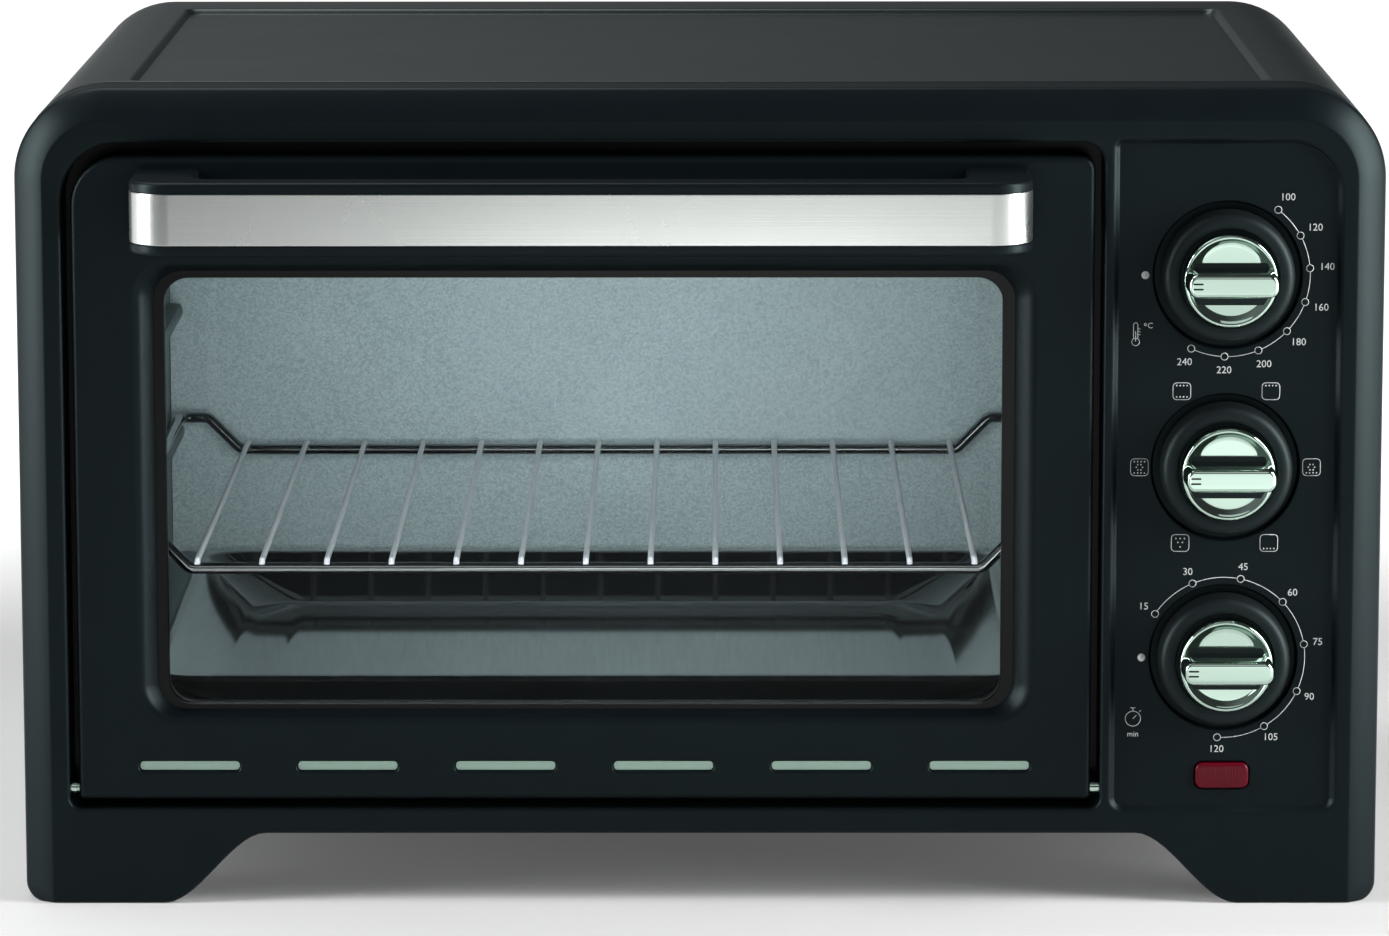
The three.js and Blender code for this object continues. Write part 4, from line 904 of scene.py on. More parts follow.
# %% Cover
PRESSING = 2.0
PRESSING_SLOPE = 2.6
PRESSING_CORNER = 6.0
PRESSING_HALF = 202.0
PRESSING_NEAR = 4.0
PRESSING_FAR = 28.0


def pressed(x, depth, panel):
    """How far the top lies pressed in at a spot, from the distance to the panel's round-cornered edge."""
    x0, x1, d0, d1 = panel
    dx = max(x0 + PRESSING_CORNER - x, x - x1 + PRESSING_CORNER, 0)
    dy = max(d0 + PRESSING_CORNER - depth, depth - d1 + PRESSING_CORNER, 0)
    if dx == 0 and dy == 0:
        return PRESSING
    into = PRESSING_CORNER - math.hypot(dx, dy)
    t = min(1.0, max(0.0, into / PRESSING_SLOPE))
    return PRESSING * t * t * (3 - 2 * t)


def close_lines(start, end):
    """Grid lines that are fine for ten millimetres inside each end and wide between."""
    fine = [0, 0.5, 1.0, 1.6, 2.2, 2.8, 4.0, 5.2, 6.4, 8, 10]
    wide = [start + 10 + (end - start - 20) * i / 8 for i in range(1, 8)]
    return [start + d for d in fine] + wide + [end - d for d in reversed(fine)]


def casing_cover():
    cover = place("outer_cover")
    radius = CORNER - 1
    panel = (-PRESSING_HALF, PRESSING_HALF, cover.d0 + PRESSING_NEAR, cover.d1 - PRESSING_FAR)
    side = [(cover.x1, cover.z0 + (cover.z1 - radius - cover.z0) * i / 6) for i in range(7)]
    corner = []
    for i in range(1, 17):
        turn = math.radians(90 * i / 16)
        corner.append((cover.x1 - radius * (1 - math.cos(turn)), cover.z1 - radius * (1 - math.sin(turn))))
    top = [(x, cover.z1) for x in close_lines(panel[0], panel[1])]
    section = [(-x, z) for x, z in side + corner] + top + list(reversed(side + corner))
    depths = [cover.d0, cover.d0 + 2, *close_lines(panel[2], panel[3]), cover.d1 - 14, cover.d1]
    shell = Shell()
    rows_made = []
    for depth in depths:
        ring = [(x, depth, z - (pressed(x, depth, panel) if z == cover.z1 else 0)) for x, z in section]
        rows_made.append(shell.ring(ring))
    for first, second in zip(rows_made, rows_made[1:]):
        shell.skin(second, first, closed=False)
    made = piece("casing_cover", shell.bm, paint, "chassis", ["outer_cover"], recalc=False)
    sheet = made.modifiers.new("sheet", "SOLIDIFY")
    sheet.thickness = SHEET * MM
    sheet.offset = -1
    made.modifiers.move(1, 0)
    return made


cover_piece = casing_cover()
middle_face = max(cover_piece.data.polygons, key=lambda face: face.center.z * face.area)
print("cover's top normal", tuple(round(v, 2) for v in middle_face.normal))

# %% [markdown]
# ## The door frame
# The door is a moulded frame with rounded front edges. Its window sits in a funnel: the lip rolls
# in over two and a half millimetres and slopes down to the glass, wider at the sides than below. The
# funnel is a blend between two outlines with the same number of points. In front of the pane it turns
# in to a narrow ledge, and a black border lies on that ledge, all round the glass. A row of six slots
# lets warm air out under the window. The rear of the moulding has the seat for the pane.

# %% Door frame
FACE = place("door_frame").d0
DOOR_REAR = place("door_frame").d1
DOOR_CORNERS = (2, 2, 5, 17)
FUNNEL = Area(WINDOW.x0 - 8.2, WINDOW.x1 + 9.9, WINDOW.z0 - 3.7, WINDOW.z1 + 5.8)
VENTS = {"count": 6, "pitch": 55.9, "length": 35.8, "height": 3.8, "z": DOOR.z0 + 12}
VENT_FLOOR = 4.2
DOOR_ROLL = 2.2
DOOR_X = (DOOR.x0 + DOOR.x1) / 2
LEDGE = 0.56
WIDE = rounded(FUNNEL, (12,) * 4)
NARROW = rounded(WINDOW, (9,) * 4)


def blended(first, second, share, depth):
    """A ring that lies a share of the way from the first outline to the second."""
    return [(x0 + (x1 - x0) * share, depth, z0 + (z1 - z0) * share)
            for (x0, z0), (x1, z1) in zip(first, second)]


def vent_area(index):
    middle = DOOR_X + (index - (VENTS["count"] - 1) / 2) * VENTS["pitch"]
    return Area(middle - VENTS["length"] / 2, middle + VENTS["length"] / 2,
                VENTS["z"] - VENTS["height"] / 2, VENTS["z"] + VENTS["height"] / 2)


def door_moulding():
    shell = Shell()
    rolled = [(-inset, FACE + drop) for inset, drop in reversed(edge_roll(DOOR_ROLL, 5))]
    body = shell.loft(stack(DOOR, DOOR_CORNERS, [(0, DOOR_REAR)] + rolled))
    lip = rounded_by(FUNNEL, (12,) * 4, 2.4)
    funnel = [blended(lip, WIDE, share, FACE + drop) for share, drop in ((0, 0), (0.5, 0.18), (1, 0.8))]
    for share, drop in ((0.12, 1.5), (0.26, 2.8), (0.42, 4.5), (0.52, 6.2), (LEDGE, 7.0), (1.0, 7.2)):
        funnel.append(blended(WIDE, NARROW, share, FACE + drop))
    seat = area_of("door_glass", 0.3)
    seat_depth = place("door_glass").d0 - 0.3
    funnel.append(flat(NARROW, seat_depth))
    funnel.append(flat(rounded(seat, (3,) * 4), seat_depth))
    funnel.append(flat(rounded(seat, (3,) * 4), DOOR_REAR))
    window = shell.loft(funnel)
    vents = []
    for index in range(VENTS["count"]):
        area = vent_area(index)
        steps = [(inset, FACE + drop) for inset, drop in edge_roll(0.8, 3)] + [(0, VENT_FLOOR)]
        slot = shell.loft(stack(area, (1.6,) * 4, steps, 4))
        shell.lid(slot[-1])
        vents.append(slot[0])
    shell.lid(body[-1], window[0], *vents)
    shell.lid(body[0], window[-1])
    piece("door_moulding", shell.bm, plastic, "door", ["door_frame"], crease=32)


def window_border():
    shell = Shell()
    steps = ((LEDGE + 0.02, 6.95), (LEDGE + 0.02, 6.85), (1.0, 6.9), (1.0, 7.15))
    rings = shell.loft([blended(WIDE, NARROW, share, FACE + drop) for share, drop in steps])
    shell.skin(rings[-1], rings[0])
    piece("window_border", shell.bm, black_lining_and_gap_shade, "door")


door_moulding()
window_border()

# %% [markdown]
# ## Steel in the vents
# A bright brushed strip shows through each slot. The six visible windows of that strip are the same
# small plate at an even pitch, so the *rows of copies* tree lays them out.

# %% Vent steel
def small_plate(length, height, depth, corner=1.5, roll=0.25):
    shell = Shell()
    area = Area(-length / 2, length / 2, -height / 2, height / 2)
    steps = [(-roll, 0), (0, roll), (0, depth)]
    shell.block(stack(area, (corner,) * 4, steps, 4))
    return shell.bm


def vent_steel():
    first = vent_area(0)
    start = ((first.x0 + first.x1) / 2, VENT_FLOOR - 1.2, VENTS["z"])
    mesh = rows(small_plate(VENTS["length"] - 0.2, VENTS["height"] - 0.2, 0.9), vent_plate,
                start, (VENTS["pitch"], 0, 0), VENTS["count"])
    finished(linked("vent_steel", mesh), "door")


vent_steel()

# %% [markdown]
# ## Door glass and lining
# The pane and the lining behind it are plain flat pieces in the CAD, and their shapes are right, so
# they stay and only get their finishes.

# %% Carried-over nodes
def dress(look, *names):
    """A procedural finish for CAD nodes whose shape stays as it is."""
    for name in names:
        node = frame["nodes"][name]
        node.data.materials.clear()
        node.data.materials.append(look)
    print(look.name, "on", ", ".join(names))


dress(glass, "door_glass")
# The liner's front frame is made black as painted shade for the dark gap round the door.
dress(black_lining_and_gap_shade, "door_inner_frame", "cavity_front_frame")
dress(sheet_steel, "door_arm_left", "door_arm_right", "control_bracket", "fan_housing",
      "thermostat_shaft", "function_shaft", "timer_shaft")
dress(liner_steel, "fan_grille", "fan_impeller", "heat_shield")
dress(ceramic, "thermostat_body", "terminal_block",
      *[name for name in frame["nodes"] if name.startswith("element_bush")])
dress(inner_plastic, "function_switch_body", "timer_body", "fan_motor", "lamp_holder")
dress(brass, "timer_bell", "thermostat_bulb")

# %% [markdown]
# ## The handle
# The handle is a flat bow: a bar with rounded ends that turn back to the door. Seen from above it is
# one plan, so it is a stack of plans: the edges above and below roll over, and a shallow channel
# round the front takes the steel strip.

# %% Handle
BAR = place("handle_bar")
STRIP = place("handle_trim")
HANDLE_CORNER = 15.0
HANDLE_POST = 22.0
HANDLE_BAR = 14.0
HANDLE_INNER = 8.0
CHANNEL = 1.3


def corner_arc(x, depth, radius, start, end, steps=10):
    turns = [math.radians(start + (end - start) * i / steps) for i in range(steps + 1)]
    return [(x + radius * math.cos(turn), depth + radius * math.sin(turn)) for turn in turns]


def bow_plan(cut, channel):
    """(x, depth) points round the bow; cut comes off all round, channel only at the front."""
    x0, x1 = BAR.x0 + cut, BAR.x1 - cut
    radius = HANDLE_CORNER - cut - channel
    bend = BAR.d0 + HANDLE_CORNER
    inside = BAR.d0 + HANDLE_BAR - cut
    post0, post1 = BAR.x0 + HANDLE_POST - cut, BAR.x1 - HANDLE_POST + cut
    inner = HANDLE_INNER
    end = STRIP.d1
    plan = [(x0, BAR.d1), (x0, end + 0.3), (x0 + channel, end)]
    plan += corner_arc(BAR.x0 + HANDLE_CORNER, bend, radius, 180, 270)
    plan += corner_arc(BAR.x1 - HANDLE_CORNER, bend, radius, 270, 360)
    plan += [(x1 - channel, end), (x1, end + 0.3), (x1, BAR.d1), (post1, BAR.d1)]
    plan += corner_arc(post1 - inner, inside + inner, inner, 0, -90)
    plan += corner_arc(post0 + inner, inside + inner, inner, -90, -180)
    plan += [(post0, BAR.d1)]
    return plan


def handle_bow():
    roll = 1.5
    turns = [math.radians(18 * i) for i in range(6)]
    low = [(BAR.z0 + roll * (1 - math.sin(t)), roll * (1 - math.cos(t)), 0) for t in reversed(turns)]
    high = [(BAR.z1 - (z - BAR.z0), cut, 0) for z, cut, _ in reversed(low)]
    band = [(STRIP.z0 - 0.25, 0, 0), (STRIP.z0 - 0.2, 0, CHANNEL), (STRIP.z1 + 0.2, 0, CHANNEL),
            (STRIP.z1 + 0.25, 0, 0)]
    shell = Shell()
    rings = shell.loft([[(x, depth, z) for x, depth in bow_plan(cut, channel)]
                        for z, cut, channel in low + band + high])
    for ring in (rings[0], rings[-1]):
        shell.bm.faces.new(ring)
    bmesh.ops.triangulate(shell.bm, faces=[f for f in shell.bm.faces if len(f.verts) > 4])
    piece("handle_bow", shell.bm, plastic, "door", ["handle_bar"], crease=35)


def handle_strip():
    """A thin sheet with rolled edges, swept round the front of the bow."""
    bend = BAR.d0 + HANDLE_CORNER
    path = [((BAR.x0, STRIP.d1), (1, 0))]
    for x, start in ((BAR.x0 + HANDLE_CORNER, 180), (BAR.x1 - HANDLE_CORNER, 270)):
        for i in range(13):
            turn = math.radians(start + 7.5 * i)
            cos, sin = math.cos(turn), math.sin(turn)
            path.append(((x + HANDLE_CORNER * cos, bend + HANDLE_CORNER * sin), (-cos, -sin)))
    path.append(((BAR.x1, STRIP.d1), (-1, 0)))
    section = [(1.0, STRIP.z0), (0.4, STRIP.z0), (0.12, STRIP.z0 + 0.12), (0.0, STRIP.z0 + 0.45),
               (0.0, STRIP.z1 - 0.45), (0.12, STRIP.z1 - 0.12), (0.4, STRIP.z1), (1.0, STRIP.z1)]
    shell = Shell()
    rings = shell.loft([[(x + ix * d, y + iy * d, z) for d, z in section] for (x, y), (ix, iy) in path])
    shell.bm.faces.new(rings[0])
    shell.bm.faces.new(rings[-1])
    piece("handle_strip", shell.bm, brushed, "door", ["handle_trim"], crease=50)


handle_bow()
handle_strip()

# %% [markdown]
# ## Hinge pins
# At each lower corner a bright turned pin crosses the gap from the door into the bezel. It is a
# lathe shape with chamfered ends and a fine groove.

# %% Hinge pins
def hinge_pin(side):
    pin = place(f"hinge_pin_{side}")
    radius = (pin.z1 - pin.z0) / 2
    middle = (pin.x0 + pin.x1) / 2
    centre = (0, (pin.d0 + pin.d1) / 2, (pin.z0 + pin.z1) / 2)
    profile = [(0, pin.x0), (radius - 0.5, pin.x0), (radius, pin.x0 + 0.5), (radius, middle - 0.5),
               (radius - 0.35, middle - 0.3), (radius - 0.35, middle + 0.3), (radius, middle + 0.5),
               (radius, pin.x1 - 0.5), (radius - 0.5, pin.x1), (0, pin.x1)]
    turned(f"pin_{side}", profile, centre, "X", 32, chrome, "door", f"hinge_pin_{side}")


hinge_pin("left")
hinge_pin("right")

# %% [markdown]
# ## Dials
# A dial is two mouldings. The dark skirt is a turned ring with a soft shoulder that rises out of its
# well. The bright cap is a shallow dished disc with a straight grip bar across it. Both are drawn
# about the shaft. A dark plate lies on the disc round the bar, painted shade for the dark bands above
# and below it, and the two short pointer lines at the bar's left end are copies in a row.

# %% Dial shapes
GRIP_HALF = 15.6
GRIP_RISE = 4.2


def dial_skirt(name, z):
    skirt = place(f"{name}_knob")
    radius = (skirt.x1 - skirt.x0) / 2
    profile = [(3.3, skirt.d1), (radius - 0.4, skirt.d1), (radius, skirt.d1 - 0.5), (radius - 0.15, -3.6),
               (radius - 0.5, -5.6), (radius - 1.2, -6.9), (radius - 2.3, -7.7), (radius - 3.6, -8.0),
               (radius - 5.2, -7.8), (17.2, -7.2), (17.0, -6.4), (3.3, -6.4), (3.3, skirt.d1)]
    turned(f"{name}_skirt", profile, (PANEL_X, 0, z), "Y", 96, dial_plastic, f"{name}_dial",
           f"{name}_knob", crease=50)


def grip_bar(shell, z, cap):
    area = Area(PANEL_X - GRIP_HALF, PANEL_X + GRIP_HALF, z - GRIP_RISE, z + GRIP_RISE)
    steps = [(0.55, cap.d0 + 15.5), (0.3, cap.d0 + 13), (0, cap.d0 + 2.0)]
    steps += [(-0.12, cap.d0 + 1.2), (-0.42, cap.d0 + 0.55), (-0.9, cap.d0 + 0.15), (-1.5, cap.d0)]
    shell.block(stack(area, (3.2,) * 4, steps, 6))


def dial_cap(name, z):
    cap = place(f"{name}_knob_cap")
    radius = (cap.x1 - cap.x0) / 2
    rear = cap.d1
    shell = Shell()
    profile = [(0, rear), (radius, rear), (radius, rear - 4.9), (radius - 0.2, rear - 5.7),
               (radius - 0.6, rear - 6.1), (radius - 1.1, rear - 6.2), (radius - 1.7, rear - 6.0),
               (radius - 2.8, rear - 5.5), (radius - 4.5, rear - 5.3), (0, rear - 5.25)]
    lathe(shell.bm, profile, (PANEL_X, 0, z), "Y", 96)
    grip_bar(shell, z, cap)
    piece(f"{name}_cap", shell.bm, chrome, f"{name}_dial", [f"{name}_knob_cap"], crease=45)


# A dark plate on the disc above and below the grip bar: painted shade.
def grip_seam(name, z):
    cap = place(f"{name}_knob_cap")
    half = (cap.x1 - cap.x0) / 2 - 1.5
    area = Area(PANEL_X - half, PANEL_X + half, z - 8.4, z + 6.4)
    front = cap.d1 - 5.7
    shell = Shell()
    shell.block(stack(area, (0.8,) * 4, ((0.1, front + 2.4), (0, front + 0.2), (-0.2, front)), 4))
    piece(f"{name}_seam", shell.bm, dial_plastic, f"{name}_dial", crease=45)


def pointer_lines(name, z):
    cap = place(f"{name}_knob_cap")
    mesh = rows(small_plate(3.6, 0.6, 0.5, 0.28, 0.12), dial_plastic,
                (PANEL_X - 12.4, cap.d0 - 0.2, z - 0.9), (0, 0, 1.8), 2)
    finished(linked(f"{name}_pointer", mesh), f"{name}_dial")


for dial, height in DIALS.items():
    dial_skirt(dial, height)
    dial_cap(dial, height)
    grip_seam(dial, height)
    pointer_lines(dial, height)

# %% [markdown]
# ## The lamp lens
# A small red lens shines beside the timer. It is a moulded block with a rolled edge that stands just
# inside its slot, with fine vertical flutes on its face to spread the light.

# %% Lamp lens
def lamp_lens():
    lens = place("lamp_lens")
    area = grown(LENS, -0.4)
    shell = Shell()
    steps = [(0, lens.d1 - 1), (0, 1.4), (-0.2, 0.9), (-0.6, 0.6), (-1.2, 0.5)]
    shell.block(stack(area, (2.6,) * 4, steps, 6))
    piece("signal_lens", shell.bm, lens_red, "chassis", ["lamp_lens"], crease=40)
    flutes = rows(small_plate(0.35, area.z1 - area.z0 - 3.0, 0.3, 0.16, 0.08), lens_red,
                  (area.x0 + 2.6, 0.42, (area.z0 + area.z1) / 2), (1.05, 0, 0), 13)
    finished(linked("lens_flutes", flutes), "chassis")


lamp_lens()

# %% [markdown]
# ## The printed panel
# Pad printing is a layer of ink a few hundredths of a millimetre thick. The lines are thin bars from
# the *bent rod* tree pressed almost flat on the panel, and the numbers are text made into mesh. Each
# scale runs round its dial: a small ring at each number, and a line from ring to ring.

# %% Ink helpers
INK_RADIUS = 0.13
INK_HEIGHT = 0.06
SCALE_RADIUS = 28.8
ink_lines = []
ink_texts = []


def polar(z, radius, degrees):
    turn = math.radians(degrees)
    return PANEL_X + radius * math.cos(turn), z + radius * math.sin(turn)


def draw(points):
    ink_lines.append([(x, PANEL_DEPTH, z) for x, z in points])


def draw_ring(x, z, radius, sides=16):
    loop = circle(x, z, radius, sides)
    draw(loop + [loop[0]])


FONT_SIZE = 1.38


def write(text, x, z, size=2.6):
    """Flat letters of the given height on the panel, centred on x and z."""
    letters = bpy.data.curves.new("letters", "FONT")
    letters.body, letters.size = text, size * FONT_SIZE * MM
    letters.align_x, letters.align_y = "CENTER", "CENTER"
    letters.extrude = 0.5 * INK_HEIGHT * MM
    letters.resolution_u = 3
    holder = linked("letters", letters)
    mesh = plain_mesh(holder)
    bpy.data.objects.remove(holder)
    mesh.transform(Matrix.Translation(point(x, PANEL_DEPTH, z)) @ Matrix.Rotation(math.pi / 2, 4, "X"))
    mesh.materials.clear()
    mesh.materials.append(ink)
    ink_texts.append(mesh)


def scale(z, numbers, first, step, number_radius):
    """Rings and numbers from the first angle on, with arcs between neighbouring rings."""
    ring = 1.25
    clear = math.degrees((ring + 0.1) / SCALE_RADIUS)
    for index, number in enumerate(numbers):
        angle = first + step * index
        x, mark_z = polar(z, SCALE_RADIUS, angle)
        draw_ring(x, mark_z, ring)
        write(str(number), *polar(z, number_radius(angle), angle))
        if index:
            sweep = [angle - step + math.copysign(clear, step), angle - math.copysign(clear, step)]
            draw([polar(z, SCALE_RADIUS, sweep[0] + (sweep[1] - sweep[0]) * i / 8) for i in range(9)])


def solid_dot(z, radius=1.4):
    """Rings inside each other that fill a dot at the scale's left side."""
    x = PANEL_X - SCALE_RADIUS
    for step in range(6):
        draw_ring(x, z, radius * (6 - step) / 6 - INK_RADIUS, 20)


# %% [markdown]
# The numbers are what such an oven has: temperatures from 100 to 240 degrees, and minutes from 15 to
# 120. The selector's six signs are a small oven outline with dots where the heat is.

# %% Panel print
def oven_sign(x, z, dots):
    """A small oven seen from the front, with a dot for every place that heats."""
    draw(rounded(Area(x - 3.1, x + 3.1, z - 3.0, z + 3.0), (1.3,) * 4, 4) + [(x - 3.1, z - 1.7)])
    for dx, dz in dots:
        draw_ring(x + dx, z + dz, 0.17, 6)


def thermometer(x, z):
    """The sign for degrees."""
    draw([(x - 0.75, z - 1.5), (x - 0.75, z + 3.6), (x - 0.3, z + 4.2), (x + 0.3, z + 4.2),
          (x + 0.75, z + 3.6), (x + 0.75, z - 1.5)])
    draw_ring(x, z - 2.6, 1.35, 14)
    draw([(x, z - 2.4), (x, z + 1.2)])
    for step in range(3):
        draw([(x + 0.9, z + step), (x + 1.6, z + step)])
    draw_ring(x + 3.4, z + 3.6, 0.42, 8)
    write("C", x + 5.1, z + 3.1, 2.0)


def stopwatch(x, z):
    """The sign for minutes."""
    draw_ring(x, z, 2.7, 22)
    draw([(x - 0.9, z + 3.9), (x + 0.9, z + 3.9)])
    draw([(x, z + 2.8), (x, z + 3.8)])
    draw([(x, z), (x + 1.2, z + 1.2)])
    draw([(x + 2.2, z + 2.4), (x + 2.8, z + 3.0)])
    write("min", x, z - 5.6, 2.0)


scale(DIALS["thermostat"], range(100, 241, 20), 53, -24.1,
      lambda angle: 33.6 + 1.2 * abs(math.cos(math.radians(angle))))
scale(DIALS["timer"], range(15, 121, 15), 147, -34.36,
      lambda angle: 33.0 + 0.8 * abs(math.cos(math.radians(angle))))
solid_dot(DIALS["thermostat"])
solid_dot(DIALS["timer"])
top_row = [(dx, 2.0) for dx in (-1.8, -0.6, 0.6, 1.8)]
low_row = [(dx, -2.0) for dx in (-1.8, -0.6, 0.6, 1.8)]
fan_ring = [(1.1 * math.cos(a), 1.1 * math.sin(a)) for a in (0, 1.05, 2.1, 3.14, 4.2, 5.25)]
drops = [(-1.5, 1.6), (0, 1.6), (1.5, 1.6), (-0.8, 0.2), (0.8, 0.2), (0, -1.4)]
for angle, dots in ((180, top_row + low_row + fan_ring), (120, top_row + low_row), (60, top_row),
                    (0, low_row + fan_ring), (-60, low_row), (-120, drops)):
    oven_sign(*polar(DIALS["function"], 31.2 if angle % 180 else 30.2, angle), dots)
thermometer(PANEL_X - 32.0, DIALS["thermostat"] - 21.0)
stopwatch(PANEL_X - 31.6, DIALS["timer"] - 22.0)


def panel_print():
    lines = bent_rod(ink_lines, INK_RADIUS, ink, bend=0.02, sides=6, steps=1)
    for vertex in lines.vertices:
        face = FRONT + PANEL_DEPTH * MM
        vertex.co.y = face + (vertex.co.y - face) * INK_HEIGHT / INK_RADIUS
    finished(linked("panel_print", joined_mesh("panel_print", [lines, *ink_texts])), "chassis")


panel_print()

# %% [markdown]
# ## The liner
# The liner is a folded steel box open at the front, with pressed shelves along both side walls: a
# deep one for the tray low down, and two shallow ones for the rack. The section is the room's
# outline with the shelves in it, and it is lofted back from the mouth. The shelves fade out at both
# ends, as a pressing does. A round hole in the right wall leads to the fan.

# %% Liner section
LINER = place("cavity_back")
ROOM = Area(LINER.x0 - 0.3, LINER.x1 + 0.3, LINER.z0 - 0.3, LINER.z1 + 0.3)
ROOM_CORNER = 7.0
SHELL = place("cavity_shell")
SHELVES = ((73.0, 13.3), (124.6, 6.5), (172.6, 6.5))
SHELF_HEIGHT = 6.0
GUIDE_NEAR = 30.0
GUIDE_FAR = 300.0
PORT_RADIUS = 42.0


def wall_line(share):
    """(reach, z) points up one wall; share is how far the shelves stand out."""
    points = []
    for top, reach in SHELVES:
        out = reach * share
        points += [(0, top - SHELF_HEIGHT - 2), (0.15 * out, top - SHELF_HEIGHT - 0.6),
                   (0.55 * out, top - SHELF_HEIGHT + 0.2), (0.9 * out, top - SHELF_HEIGHT + 1.4),
                   (out, top - 2.6), (0.96 * out, top - 0.9), (0.85 * out, top - 0.1), (0.7 * out, top),
                   (0, top)]
    return points


def room_section(share):
    """The room's outline: its two lower corners, the right wall, two upper corners, the left wall."""
    points = rounded(ROOM, (ROOM_CORNER,) * 4, 6)
    half = len(points) // 2
    right = [(ROOM.x1 - reach, z) for reach, z in wall_line(share)]
    left = [(ROOM.x0 + reach, z) for reach, z in reversed(wall_line(share))]
    return points[:half] + right + points[half:] + left


def liner_box():
    shell = Shell()
    stations = [(SHELL.d0, 0), (GUIDE_NEAR - 6, 0), (GUIDE_NEAR - 2, 0.35), (GUIDE_NEAR + 3, 0.95),
                (GUIDE_NEAR + 7, 1), (GUIDE_FAR - 6, 1), (GUIDE_FAR - 2, 0.9), (GUIDE_FAR, 0), (SHELL.d1, 0)]
    inner = shell.loft([flat(room_section(share), depth) for depth, share in stations])
    outline = rounded(grown(ROOM, 1), (ROOM_CORNER + 1,) * 4, 6)
    outer = shell.loft([flat(outline, depth) for depth in (SHELL.d0, SHELL.d1)])
    shell.lid(outer[0], inner[0])
    shell.lid(outer[-1], inner[-1])
    return shell


def fan_port(mesh_object):
    """Cuts the round port with an exact boolean, and keeps the plain result."""
    grille = place("fan_grille")
    bm = bmesh.new()
    profile = [(0, ROOM.x1 - 3), (PORT_RADIUS, ROOM.x1 - 3), (PORT_RADIUS, ROOM.x1 + 4), (0, ROOM.x1 + 4)]
    lathe(bm, profile, (0, (grille.d0 + grille.d1) / 2, (grille.z0 + grille.z1) / 2), "X", 64)
    bmesh.ops.recalc_face_normals(bm, faces=bm.faces)
    cutter = linked("cutter", mesh_of(bm, "cutter"))
    cut = mesh_object.modifiers.new("port", "BOOLEAN")
    cut.operation, cut.solver, cut.object = "DIFFERENCE", "EXACT", cutter
    made = plain_mesh(mesh_object)
    mesh_object.modifiers.remove(cut)
    bpy.data.objects.remove(cutter)
    return made


def liner_piece():
    shell = liner_box()
    bmesh.ops.remove_doubles(shell.bm, verts=shell.bm.verts, dist=MERGE)
    bmesh.ops.recalc_face_normals(shell.bm, faces=shell.bm.faces)
    mesh = mesh_of(shell.bm, "blank")
    # The walls take the darker steel, which is painted shade.
    mesh.materials.append(shade_painted_walls)
    blank = linked("blank", mesh)
    bm = bmesh.new()
    bm.from_mesh(fan_port(blank))
    bpy.data.objects.remove(blank)
    piece("oven_liner", bm, shade_painted_walls, "chassis", ["cavity_shell"], crease=30)


liner_piece()

# %% [markdown]
# The back wall is a plate with a shallow pressed field that keeps it flat when it heats. It is a
# loft of rounded rectangles with a small step between them.

# %% Liner back
def liner_back():
    shell = Shell()
    steps = [(0, LINER.d1), (0, LINER.d0), (-14, LINER.d0), (-15.5, LINER.d0 + 0.15),
             (-18, LINER.d0 + 0.65), (-19.5, LINER.d0 + 0.8)]
    room = area_of("cavity_back")
    shell.block([flat(rounded_by(room, (26 if by else ROOM_CORNER,) * 4, by), depth) for by, depth in steps])
    piece("liner_back", shell.bm, liner_steel, "chassis", ["cavity_back"], crease=30)


liner_back()

# %% [markdown]
# ## Heating elements
# Four sheathed rods cross the oven, two above and two below. Each is a turned bar with a thinner
# terminal pin at both ends and rounded shoulders.

# %% Heating elements
def element(place_name):
    node = f"heating_element_{place_name}"
    rod = place(node)
    radius = (rod.z1 - rod.z0) / 2
    centre = (0, (rod.d0 + rod.d1) / 2, (rod.z0 + rod.z1) / 2)
    shoulder0, shoulder1 = rod.x0 + 8, rod.x1 - 8
    profile = [(0, rod.x0), (1.1, rod.x0), (1.3, rod.x0 + 0.3), (1.3, shoulder0), (radius - 0.6, shoulder0),
               (radius, shoulder0 + 0.6), (radius, 0), (radius, shoulder1 - 0.6), (radius - 0.6, shoulder1),
               (1.3, shoulder1), (1.3, rod.x1 - 0.3), (1.1, rod.x1), (0, rod.x1)]
    turned(f"element_{place_name}", profile, centre, "X", 32, sheath, "chassis", node,
           crease=50)


for spot_name in ("upper_front", "upper_rear", "lower_front", "lower_rear"):
    element(spot_name)

# %% [markdown]
# ## The wire rack
# The rim is one chromed rod bent into a frame. Its side runs lie on the shelves, and its front and
# rear runs drop between the walls so that the wires hang lower. Thirteen thin wires lie across, each
# with its ends pressed down over the rim. Both come from the *bent rod* tree: the rim is one closed
# chain, and every wire is a chain of its own at an even pitch.

# %% Wire rack
def wire_rack():
    rack = place("wire_rack")
    rail = 2.1
    wire = 1.05
    high = rack.z1 - rail
    low = rack.z0 + rail
    x0, x1 = rack.x0 + rail, rack.x1 - rail
    jog = 11.5
    drop = high - low
    near, far = rack.d0 + rail, rack.d1 - rail

    def cross(depth):
        return [(x0, depth, high), (x0 + jog, depth, high), (x0 + jog + drop, depth, low),
                (x1 - jog - drop, depth, low), (x1 - jog, depth, high), (x1, depth, high)]

    loop = cross(near) + cross(far)[::-1]
    rim = bent_rod([loop + loop[:1]], rail, rack_chrome, bend=4.5, sides=20, steps=8)
    wires = []
    count, pitch = 13, 23.15
    top = low + rail + wire * 0.8
    for index in range(count):
        x = (x0 + x1) / 2 + (index - (count - 1) / 2) * pitch
        wires.append([(x, near - 1.2, top - 1.5), (x, near + 0.6, top), (x, far - 0.6, top),
                      (x, far + 1.2, top - 1.5)])
    bars = bent_rod(wires, wire, wire_plating, bend=1.6, sides=12, steps=4)
    finished(linked("rack", joined_mesh("rack", [rim, bars])), "rack", ["wire_rack"])


wire_rack()

